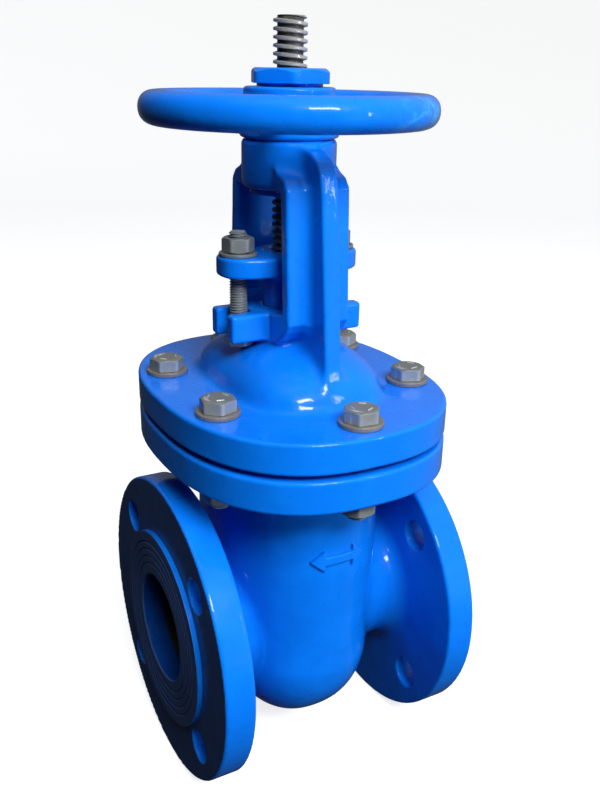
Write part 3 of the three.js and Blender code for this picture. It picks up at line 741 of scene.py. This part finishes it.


# The body's enamel darkens its bore and its machined faces as painted shade.
BLUE = enamel("blue_enamel", machined=FLANGE.step * MM)
WHEEL_BLUE = enamel("wheel_blue_enamel", scuff={0: (0.012, 0.035), 1: (-0.04, -0.055)})
FACING = facing("flange_facing")
# A brown-black finish painted in as shade inside the body.
INSIDE_SHADE = interior_shade("interior_shade")
ZINC = zinc("zinc_plate", (0.29, 0.34, 0.36), (0.17, 0.21, 0.23))
WASHER = zinc("stained_zinc", (0.36, 0.32, 0.30), (0.20, 0.17, 0.15), 0.9)
STEEL = stem_steel("stem_steel", dark_below=0.262)
PLAIN_STEEL = stem_steel("bright_steel", crest=-1, root=-2)
BRONZE = bronze("bronze")
PACKING = packing("graphite_packing")
GASKET = fibre("gasket_fibre")


def fit(piece, body, material, slot, *nodes):
    """Gives a piece its finish, its body and the CAD nodes it stands for."""
    if material is not None:
        piece.data.materials.append(material)
    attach(piece, body)
    if nodes:
        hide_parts(*nodes)
    return piece


def face_centres(piece):
    """The centre of each face, in millimetres."""
    centre = np.zeros(3 * len(piece.data.polygons))
    piece.data.polygons.foreach_get("center", centre)
    return centre.reshape(-1, 3) / MM


# ---- body
def bowl(x, y, z, inset=0.0):
    """The bowl's outside, or the same shape drawn in by an inset."""
    half_x, half_y, depth = (size - inset for size in (BOWL.half_x, BOWL.half_y, BOWL.knee - BOWL.bottom))
    return vessel(x, y, z, half_x, half_y, BOWL.power, BOWL.knee, depth, BOWL.waist)


def bonnet_holes(x, y, z, low, high):
    """The six bolt holes, each round the middle of its washer."""
    holes = np.inf
    for i in range(1, 7):
        cx, cy, _ = middle(f"bonnet_washer_{i}")
        holes = np.minimum(holes, np.hypot(x - cx, y - cy) - M12.hole)
    return slab(holes, z, low, high, 0.3)


def body_field(x, y, z):
    side = np.abs(x)
    outside = bowl(x, y, z)
    column = np.maximum(outside, z - BODY_TOP.high + 2)
    neck = slab(np.hypot(y, z) - NECK, x, -FLANGE.step + 2, FLANGE.step - 2, 1)
    shell = joined(column, neck, 8)
    flange = drum(y, z, side, FLANGE.radius, FLANGE.back, FLANGE.step, 1.6)
    shell = joined(shell, flange, 11)
    shell = joined(shell, oval_plate(x, y, z, BODY_TOP.low, BODY_TOP.high), 7)
    hollow = cut_away(shell, bowl(x, y, z, BOWL.wall), 2)
    for sign in (1, -1):
        along, up = tilted(x, z, sign)
        seat = slab(np.hypot(y, up) - SEAT_BOSS.radius, along, SEAT.face + 0.8, BOWL.half_x - 4, 1)
        hollow = joined(hollow, np.maximum(seat, outside + 1), 3)
    rails = block(
        x, np.abs(y), z,
        (-RAIL.half_x, RAIL.inner, RAIL.low),
        (RAIL.half_x, BOWL.half_y - 4, RAIL.high),
    )
    hollow = joined(hollow, rails, 2)
    hollow = cut_away(hollow, np.hypot(y, z) - BORE, 1)
    for sign in (1, -1):
        along, up = tilted(x, z, sign)
        pocket = slab(np.hypot(y, up) - SEAT.outer - FIT, along, -5, SEAT_BOSS.floor, 0.3)
        hollow = cut_away(hollow, pocket, 0.5)
    holes = np.hypot(np.abs(y) - PIPE_HOLE.offset, np.abs(z) - PIPE_HOLE.offset) - PIPE_HOLE.radius
    hollow = cut_away(hollow, np.maximum(holes, FLANGE.back - 12 - side), 1.2)
    return cut_away(hollow, bonnet_holes(x, y, z, BODY_TOP.low - 4, BODY_TOP.high + 4), 1)


def make_body():
    low = (-FLANGE.step, -OVAL.half_y, -FLANGE.radius)
    high = (FLANGE.step, OVAL.half_y, BODY_TOP.high)
    piece = cast("body_shell", body_field, low, high, 1.6)
    fit(piece, "valve_body", BLUE, "blue_enamel", *BODY_NODES)
    # The second finish is a brown-black painted shade, for deep in the bore and all through the cavity.
    piece.data.materials.append(INSIDE_SHADE)
    centre = face_centres(piece)
    deep_in_bore = np.abs(centre[:, 0]) < FACE - PAINTED.deep
    bore = (np.hypot(centre[:, 1], centre[:, 2]) < BORE + 1.5) & deep_in_bore
    cavity = bowl(*centre.T) < 2 - BOWL.wall
    piece.data.polygons.foreach_set("material_index", (bore | cavity).astype(np.int32))


def make_flange_faces():
    """Raised joint faces with shallow grooves turned round the bore, over a ring that lines it."""
    raised, back, bottom = FLANGE.raised, FLANGE.step - PAINTED.ring, FACE - GROOVES.depth
    rim = [(BORE - 0.1, back), (raised - 0.4, back), (raised, FLANGE.step - 1), (raised, FACE)]
    for radius in GROOVES.radii:
        rim += [(radius + GROOVES.top, FACE), (radius + GROOVES.floor, bottom)]
        rim += [(radius - GROOVES.floor, bottom), (radius - GROOVES.top, FACE)]
    rim += [(BORE + 0.9, FACE), (BORE - 0.1, FACE - 1)]
    for name, sign in (("inlet", -1), ("outlet", 1)):
        shape = laid_along_x(turned(rim, ease=0.25, segments=144), sign)
        piece = build(f"{name}_joint_face", shape)
        fit(piece, "valve_body", BLUE, "blue_enamel")
        # The outer face takes the flange_facing finish, whose dark navy is painted shade.
        piece.data.materials.append(FACING)
        outer = np.abs(face_centres(piece)[:, 0]) > FACE - 0.9
        piece.data.polygons.foreach_set("material_index", outer.astype(np.int32))


def make_cast_mark():
    """A raised double-headed arrow cast on each long side of the bowl: flow may run either way."""
    tip, head, barb, shaft = MARK.tip, MARK.head, MARK.barb, MARK.shaft
    arrow = [(-tip, 0), (-head, barb), (-head, shaft), (head, shaft), (head, barb), (tip, 0)]
    arrow += [(head, -barb), (head, -shaft), (-head, -shaft), (-head, -barb)]

    def field(x, y, z):
        return slab(outline(x, z - MARK.z, arrow) - 0.2, bowl(x, y, z), -1.5, MARK.relief, 0.9)

    for name, sign in (("front", -1), ("back", 1)):
        near, far = sign * MARK.near, sign * MARK.far
        low = (-tip - 1, min(near, far), MARK.z - barb - 1)
        high = (tip + 1, max(near, far), MARK.z + barb + 1)
        fit(cast(f"flow_mark_{name}", field, low, high, 0.6), "valve_body", BLUE, "blue_enamel")


def make_gasket():
    def field(x, y, z):
        ring = oval(x, y, OVAL.half_x * 0.70, OVAL.half_y * 0.70, OVAL.power)
        width_x = (gasket_high[0] - OVAL.half_x * 0.66) / 2
        sheet = slab(np.abs(ring) - width_x, z, gasket_low[2], gasket_high[2], 0.4)
        return cut_away(sheet, bonnet_holes(x, y, z, gasket_low[2] - 4, gasket_high[2] + 4), 0.3)

    piece = cast("flange_gasket", field, gasket_low, gasket_high, 0.9)
    fit(piece, "valve_body", GASKET, "gasket_fibre", "bonnet_gasket")


def face_ring(size, start, end, turn):
    """A ring square to a tilted seat face, on the +X side before its turn about Z."""
    inner, outer = size.inner, size.outer
    ring = turned([(inner, start), (outer, start), (outer, end), (inner, end)], 0.4)
    return moved(laid_along_x(ring, 1, SEAT.tilt), turn=turn)


def make_seat_rings():
    for name, turn in (("inlet", 180), ("outlet", 0)):
        piece = build(f"{name}_seat", face_ring(SEAT, SEAT.face, SEAT.face + SEAT.thickness, turn))
        fit(piece, "valve_body", BRONZE, "bronze", f"seat_ring_{name}")


# ---- bonnet and yoke
def bonnet_field(x, y, z):
    base = oval_plate(x, y, z, BASE.low, BASE.high)
    dome = vessel(x, y, z, DOME.half_x, DOME.half_y, DOME.power, BASE.high, BASE.high - DOME.top)
    dome = np.maximum(dome, BASE.low + 3 - z)
    shell = joined(base, dome, 6)
    leg_y = -np.abs(y)
    wall = PLATE.wall
    plate_outline = [
        (-PLATE.foot_y, PLATE.foot_z),
        *((-y, z) for y, z in ANKLE),
        (-PLATE.inner, LUG.low),
        (-PLATE.inner, LUG.high),
        (-PLATE.foot_y + wall, LUG.high + 3),
        (-PLATE.top_y + wall, BOSS.low),
        (-BOSS.bore - 4, BOSS.low),
        (-BOSS.bore - 4, PLATE.top_z + 7),
        (-PLATE.top_y + 4, PLATE.top_z + 3),
        (-PLATE.top_y, PLATE.top_z - 2),
    ]
    plate = slab(outline(leg_y, z, plate_outline), x, -PLATE.half_x, PLATE.half_x, 1.7)
    rib_outline = [
        (-RIB.foot_y, BASE.high - 4),
        (-RIB.head_y, RIB.head_z),
        *((-y, z) for y, z in RIB_CREST),
        (-BOSS.bore - 4, BOSS.low),
        (-PLATE.top_y + 8, BOSS.low),
        (-PLATE.top_y + 4, BOSS.low - 5),
        (-PLATE.foot_y + 4, LUG.high),
        (-PLATE.inner, LUG.high - 4),
        (-PLATE.inner, BASE.high + 10),
        (-DOME.half_y + 14, BASE.high - 4),
    ]
    rib = slab(outline(leg_y, z, rib_outline), x, -RIB.half_x, RIB.half_x, 1.5)
    head = drum(x, y, z, BOSS.radius, BOSS.low, BOSS.high, 3.5)
    yoke = joined(joined(plate, rib, 5), head, 5)
    shell = joined(shell, yoke, 7)
    hollow = vessel(
        x, y, z, DOME.half_x - DOME.wall, DOME.half_y - DOME.wall, DOME.power,
        BASE.low + 10, BASE.low + 10 - DOME.top + DOME.wall,
    )
    shell = cut_away(shell, hollow, 2)
    shell = joined(shell, drum(x, y, z, BOX.radius, BOX.low, BOX.top, 1.5), 4)
    lugs = bar(x, y, z, LUG.half_x, LUG.half_y, LUG.low, LUG.high, 1.8)
    mouth = np.hypot(np.minimum(np.abs(x) - GLAND_BOLT_X, 0), y) - LUG.slot
    shell = joined(shell, cut_away(lugs, mouth, 1.5), 3)
    axis = np.hypot(x, y)
    shell = cut_away(shell, slab(axis - BOX.bore, z, BOX.floor, BOX.top + 9, 0.3), 1)
    shell = cut_away(shell, slab(axis - BUSH_HOLE, z, BOX.low - 9, BOX.floor + 1, 0.3), 0.6)
    shell = cut_away(shell, slab(axis - BOSS.bore, z, BOSS.low - 9, BOSS.high + 9, 0.3), 1)
    return cut_away(shell, bonnet_holes(x, y, z, BASE.low - 4, BASE.high + 4), 1)


def make_bonnet():
    piece = cast("bonnet_yoke", bonnet_field, bonnet_low, bonnet_high, 1.25)
    fit(piece, "valve_body", BLUE, "blue_enamel", *BONNET_NODES)


# ---- fasteners
def head_marks(radius, top):
    """Three short raised bars, a generic strength mark."""
    length, width = 2.2, 0.5
    low, high = top - 0.9, top
    shapes = []
    for turn in (90, 210, 330):
        corners = [(-length, -width), (length, -width), (length, width), (-length, width)]
        points = [(radius + v, u, low) for u, v in corners]
        points += [(radius + v * 0.6, u * 0.9, high) for u, v in corners]
        faces = [(3, 2, 1, 0), (4, 5, 6, 7)] + [(i, (i + 1) % 4, (i + 1) % 4 + 4, i + 4) for i in range(4)]
        shapes.append(moved((points, faces), turn=turn))
    return shapes


def copied(piece, name, place, turn=0.0):
    """Another object with the same mesh, placed in millimetres and turned about Z by degrees."""
    twin = linked(name, piece.data)
    twin.location = [c * MM for c in place]
    twin.rotation_euler = (0, 0, math.radians(turn))
    return twin


def washer_ring(size, node):
    low, high = heights(node)
    hole, edge = size.washer_hole, size.washer
    return turned([(hole, low), (edge, low), (edge, high), (hole, high)])


def place_copies(rows):
    """Puts up a copy of each [part, name, place, turn, body, CAD node], and drops the parts themselves."""
    for part, name, place, turn, body, node in rows:
        fit(copied(part, name, place, turn), body, None, "zinc_plate", node)
    for part in {row[0] for row in rows}:
        bpy.data.objects.remove(part)


def make_bonnet_fasteners():
    bolt_low, head_high = heights("bonnet_bolt_1")
    head_base = heights("bonnet_washer_1")[1] + GAP
    shank = threaded(M12.crest, M12.root, M12.pitch, bolt_low, head_base + 1, VEE)
    head = hexagonal(M12.flats, head_base, head_high - 0.5, bottom=False)
    pad = spindle([(7.6, head_high - 1.0), (7.6, head_high - 0.45)], ease=0.1)
    bolt = build("bonnet_bolt", shank, head, pad, *head_marks(5.2, head_high))
    washer = build("bonnet_washer", washer_ring(M12, "bonnet_washer_1"))
    nut = build("bonnet_nut", hexagonal(M12.flats, *heights("bonnet_nut_1"), hole=M12.crest + 0.2))
    for part, finish in ((bolt, ZINC), (washer, WASHER), (nut, ZINC)):
        part.data.materials.append(finish)
    rows = []
    for i in range(1, 7):
        x, y, _ = middle(f"bonnet_washer_{i}")
        turn = 17 * (i - 1)
        for part, kind, spin in ((bolt, "bolt", turn), (washer, "washer", 40 * i), (nut, "nut", -turn)):
            rows.append((part, f"flange_{kind}_{i}", (x, y, 0), spin, "valve_body", f"bonnet_{kind}_{i}"))
    place_copies(rows)


def make_gland_fasteners():
    bolt_low, bolt_high = heights("gland_bolt_left")
    head_high = LUG.low - GAP
    shank = threaded(M10.crest, M10.root, M10.pitch, head_high - 1, bolt_high, VEE)
    bolt = build("gland_stud", shank, hexagonal(M10.flats, bolt_low, head_high, top=False))
    washer = build("gland_disc", washer_ring(M10, "gland_washer_left"))
    nut = build("gland_hex", hexagonal(M10.flats, *heights("gland_nut_left"), hole=M10.crest + 0.1))
    for part in (bolt, washer, nut):
        part.data.materials.append(ZINC)
    rows = []
    for side, x in (("left", -GLAND_BOLT_X), ("right", GLAND_BOLT_X)):
        place = (x, 0, 0)
        rows.append((bolt, f"gland_stud_{side}", place, 0, "valve_body", f"gland_bolt_{side}"))
        rows.append((washer, f"gland_disc_{side}", place, 50, "gland", f"gland_washer_{side}"))
        rows.append((nut, f"gland_hex_{side}", place, 12, f"gland_nut_{side}", f"gland_nut_{side}"))
    place_copies(rows)


def gland_field(x, y, z):
    low, high = gland_high[2] - GLAND.thickness, gland_high[2]
    beam = slab(oval(x, y, gland_high[0], gland_high[1], GLAND.power), z, low, high, 2)
    crown = drum(x, y, z, GLAND.crown, low, high, 2)
    sleeve = drum(x, y, z, GLAND.sleeve, gland_low[2], high - 1, 0.8)
    shape = joined(joined(beam, crown, 5), sleeve, 2)
    shape = cut_away(shape, np.hypot(x, y) - STEM.radius - 0.6, 1)
    return cut_away(shape, np.hypot(np.abs(x) - GLAND_BOLT_X, y) - GLAND.hole, 0.8)


def make_gland():
    piece = cast("gland_bridge", gland_field, gland_low, gland_high, 0.75)
    fit(piece, "gland", BLUE, "blue_enamel", "gland_follower")


# ---- handwheel, sleeve and lock nut
def wheel_field(x, y, z):
    axis = np.hypot(x, y)
    rim = oval(axis - WHEEL.ring, z - WHEEL.z, WHEEL.section, WHEEL.section, 2.2)
    foot = slab(axis - HUB.base, z, HUB.low, HUB.shoulder, 1.2)
    barrel = slab(axis - HUB.top, z, HUB.low, HUB.high, 1.8)
    wheel = joined(foot, barrel, 4)
    for i in range(WHEEL.spokes):
        angle = math.radians(90 + i * 360 / WHEEL.spokes)
        along = x * math.cos(angle) + y * math.sin(angle)
        across = y * math.cos(angle) - x * math.sin(angle)
        arm = oval(across, z - WHEEL.z, WHEEL.spoke_width, WHEEL.spoke_height, 2)
        arm = np.maximum(arm, np.maximum(HUB.top - 6 - along, along - WHEEL.ring))
        wheel = joined(wheel, arm, 5)
    wheel = joined(wheel, rim, 5)
    wheel = cut_away(wheel, axis - HUB.bore, 1)
    key = bar(x - KEY.x, y, z, KEY.half_x, KEY.half_y, KEY.low, KEY.high, 0.2)
    return cut_away(wheel, key, 0.3)


def make_wheel():
    reach = WHEEL.ring + WHEEL.section
    piece = cast("hand_wheel", wheel_field, (-reach, -reach, HUB.low), (reach, reach, HUB.high), 1.0)
    fit(piece, "handwheel", WHEEL_BLUE, "blue_enamel", "handwheel")


def make_sleeve():
    """The bronze drive nut, with the flange under the yoke head painted over."""
    low, high = sleeve_low[2], sleeve_high[2]
    body, seat, thread, bore = SLEEVE.body, SLEEVE.seat, SLEEVE.thread, SLEEVE.bore
    lip, lip_top, seat_top = sleeve_high[0], BOSS.low - FIT, HUB.high - 0.5
    rim = [(bore, low), (lip, low), (lip, lip_top), (body, lip_top), (body, BOSS.high)]
    rim += [(seat, BOSS.high), (seat, seat_top), (thread, seat_top), (thread, high), (bore, high)]
    piece = build("drive_nut", turned(rim, 0.7))
    fit(piece, "handwheel", BRONZE, "bronze", "yoke_sleeve")
    piece.data.materials.append(BLUE)
    for face in piece.data.polygons:
        centre = face.center
        if centre.z < BOSS.low * MM and math.hypot(centre.x, centre.y) > (bore + 3) * MM:
            face.material_index = 1


def make_lock_nut():
    low, high = heights("lock_nut")
    bore, edge, shoulder = LOCK_NUT.bore, LOCK_NUT.collar, low + LOCK_NUT.shoulder
    collar = turned([(bore, low), (edge, low), (edge, shoulder + 1), (bore, shoulder + 1)], 0.5)
    hexagon = hexagonal(LOCK_NUT.flats, shoulder, high, hole=bore, bottom=False)
    piece = build("top_nut", collar, moved(hexagon, turn=LOCK_NUT.turn))
    fit(piece, "handwheel", BLUE, "blue_enamel", "lock_nut")


# ---- stem and wedge
def stem_head_box(gap=0.0, slot_end=None):
    """The corners of the stem's hammer head with a gap all round, drawn out along X to a slot's end."""
    across, along, base = STEM_HEAD.half_x + gap, STEM_HEAD.half_y + gap, stem_low[2]
    far = across if slot_end is None else slot_end
    return (-across, -along, base - gap), (far, along, base + STEM_HEAD.height + gap)


def make_stem():
    screw = threaded(
        STEM.radius, STEM.root, STEM.pitch, STEM.thread_low, stem_high[2], TRAPEZOID,
        left=True, chamfer=1.6, segments=72,
    )
    piece = build("stem_screw", screw, crease=28)
    fit(piece, "stem", STEEL, "bright_steel", "stem")
    radius, collar, low, high = STEM.radius, STEM_COLLAR.radius, STEM_COLLAR.low, STEM_COLLAR.high
    shank = spindle([
        (radius - 1, 50), (radius - 1, low), (collar, low), (collar, high), (radius + 0.4, high + 3),
        (radius, high + 3.6), (radius, STEM.thread_low + 1), (STEM.root, STEM.thread_low + 4),
    ])
    fit(build("stem_shank", shank), "stem", PLAIN_STEEL, "bright_steel")

    def head(x, y, z):
        return block(x, y, z, *stem_head_box(), 0.8)

    fit(cast("stem_head", head, *stem_head_box(), 0.8), "stem", PLAIN_STEEL, "bright_steel")


def wedge_field(x, y, z):
    gate = np.hypot(y, z) - WEDGE.radius
    for sign in (1, -1):
        along, _ = tilted(x, z, sign)
        gate = cut_away(gate, SEAT.face - FIT - along, 1)
    hub = bar(x, y, z, WEDGE.hub_x, WEDGE.hub_y, WEDGE.hub_low, WEDGE.hub_top, 2)
    ears = bar(x, y, z, EAR.half_x, RAIL.inner + EAR.past_rail, EAR.low, EAR.high, 1.5)
    gate = joined(joined(gate, hub, 4), ears, 3)
    gate = cut_away(gate, block(x, y, z, *stem_head_box(FIT, WEDGE.slot_end), 0.3), 0.6)
    neck_low, neck_high = (-9, -9, stem_low[2] + 6), (WEDGE.slot_end, 9, WEDGE.slot_top)
    gate = cut_away(gate, block(x, y, z, neck_low, neck_high, 0.3), 0.6)
    groove_low, groove_high = (-EAR.groove, RAIL.inner - 0.5, -30), (EAR.groove, RAIL.inner + 10, 30)
    gate = cut_away(gate, block(x, np.abs(y), z, groove_low, groove_high, 0.3), 0.6)
    inner, outer = WEDGE_RING.inner, WEDGE_RING.outer
    for sign in (1, -1):
        along, up = tilted(x, z, sign)
        ring = np.abs(np.hypot(y, up) - (inner + outer) / 2) - (outer - inner) / 2 - FIT
        recess = slab(ring, along, SEAT.face - 2 * FIT - WEDGE_RING.thickness, SEAT.face + 9, 0.2)
        gate = cut_away(gate, recess, 0.4)
    return gate


def make_wedge():
    low, high = span("wedge")
    fit(cast("gate_wedge", wedge_field, low, high, 0.95), "stem", BLUE, "blue_enamel", "wedge")
    face = SEAT.face - FIT
    for name, turn in (("outlet", 0), ("inlet", 180)):
        shape = face_ring(WEDGE_RING, face - WEDGE_RING.thickness, face, turn)
        piece = build(f"{name}_wedge_face", shape)
        fit(piece, "stem", BRONZE, "bronze", f"wedge_ring_{name}")


def refinish(node, material):
    """Gives a CAD node that keeps its shape a detailed finish."""
    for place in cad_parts[node].material_slots:
        place.material = material


make_body()
make_flange_faces()
make_cast_mark()
make_gasket()
make_seat_rings()
make_bonnet()
make_bonnet_fasteners()
make_gland()
make_gland_fasteners()
make_wheel()
make_sleeve()
make_lock_nut()
make_stem()
make_wedge()
refinish("wheel_key", PLAIN_STEEL)
refinish("backseat_bush", BRONZE)
for ring_number in range(1, 5):
    refinish(f"packing_ring_{ring_number}", PACKING)


# ---- camera, floor and light
def place_camera():
    """The photo's view, from half a metre off towards the inlet and just above the handwheel's height."""
    azimuth, pitch, roll = (math.radians(a) for a in (28.869, 20.87, 1.072))
    turns = ((-azimuth, "Z"), (math.pi / 2 - pitch, "X"), (roll, "Z"))
    place = Matrix.Translation((-0.227114, -0.429428, 0.319515))
    for angle, axis in turns:
        place = place @ Matrix.Rotation(angle, 4, axis)
    lens = bpy.data.cameras.new("camera")
    lens.lens = 39.02
    lens.sensor_width = 36
    lens.clip_start = 0.01
    camera = linked("camera", lens)
    camera.matrix_world = place
    bpy.context.scene.camera = camera


def soft_light(name, place, aim, width, height, watts):
    lamp = bpy.data.lights.new(name, "AREA")
    lamp.shape = "RECTANGLE"
    lamp.size = width
    lamp.size_y = height
    lamp.energy = watts
    light = linked(name, lamp)
    light.location = place
    light.rotation_euler = (Vector(aim) - Vector(place)).to_track_quat("-Z", "Y").to_euler()
    return light


def lay_floor():
    """A pale round sweep: flat under the valve, rising far out. It gives the valve no light of its own."""
    level = body_low[2] * MM
    profile = [(0.0, 0.0), (2.4, 0.0), (2.7, 0.06), (2.9, 0.2), (3.05, 0.5), (3.1, 1.0), (3.1, 4.0)]
    sweep = [(radius, level + height) for radius, height in profile]
    segments = 64
    mesh = bpy.data.meshes.new("floor")
    mesh.from_pydata(revolved(sweep, segments), [], skin(len(sweep), segments))
    smooth(mesh)
    floor = linked("floor", mesh)
    mesh.materials.append(floor_finish("floor"))
    floor.visible_diffuse = False
    floor.visible_glossy = False
    floor.visible_shadow = False


def light_world():
    """A dim room, lighter above and to the right than below and to the left."""
    world = bpy.data.worlds.new("studio")
    world.use_nodes = True
    bpy.context.scene.world = world
    nodes, connect = world.node_tree.nodes, world.node_tree.links.new
    background = nodes["Background"]
    background.inputs["Strength"].default_value = 1.0
    towards = nodes.new("ShaderNodeVectorMath")
    towards.operation = "DOT_PRODUCT"
    towards.inputs[1].default_value = (0.80, 0.15, 0.58)
    spread = nodes.new("ShaderNodeMapRange")
    spread.inputs["From Min"].default_value = -0.9
    spread.inputs["From Max"].default_value = 1.0
    ramp = nodes.new("ShaderNodeValToRGB")
    shades = ramp.color_ramp.elements
    shades[0].color = (0.008, 0.010, 0.014, 1)
    shades[1].color = (0.31, 0.34, 0.37, 1)
    for place, colour in ((0.45, (0.025, 0.030, 0.042, 1)), (0.75, (0.16, 0.18, 0.21, 1))):
        shades.new(place).color = colour
    connect(nodes.new("ShaderNodeTexCoord").outputs["Generated"], towards.inputs[0])
    connect(towards.outputs["Value"], spread.inputs["Value"])
    connect(spread.outputs["Result"], ramp.inputs["Fac"])
    connect(ramp.outputs["Color"], background.inputs["Color"])


place_camera()
lay_floor()
light_world()
AIM = (0, 0, 0.12)
for name, place, width, height, watts, mirrored in (
    ("key", (-0.02, -1.25, 1.35), 1.0, 0.6, 36, False),
    ("fill", (0.70, -1.40, 0.02), 0.8, 0.4, 9.5, False),
    ("window", (-0.02, -1.18, 1.02), 0.50, 0.24, 7, True),
    ("doorway", (0.70, -1.20, 0.47), 0.035, 0.40, 0.6, True),
    ("overhead", (-0.35, -0.35, 1.7), 0.9, 0.9, 8, False),
):
    soft_light(name, place, AIM, width, height, watts).visible_glossy = mirrored
bpy.context.scene.view_settings.view_transform = "Standard"
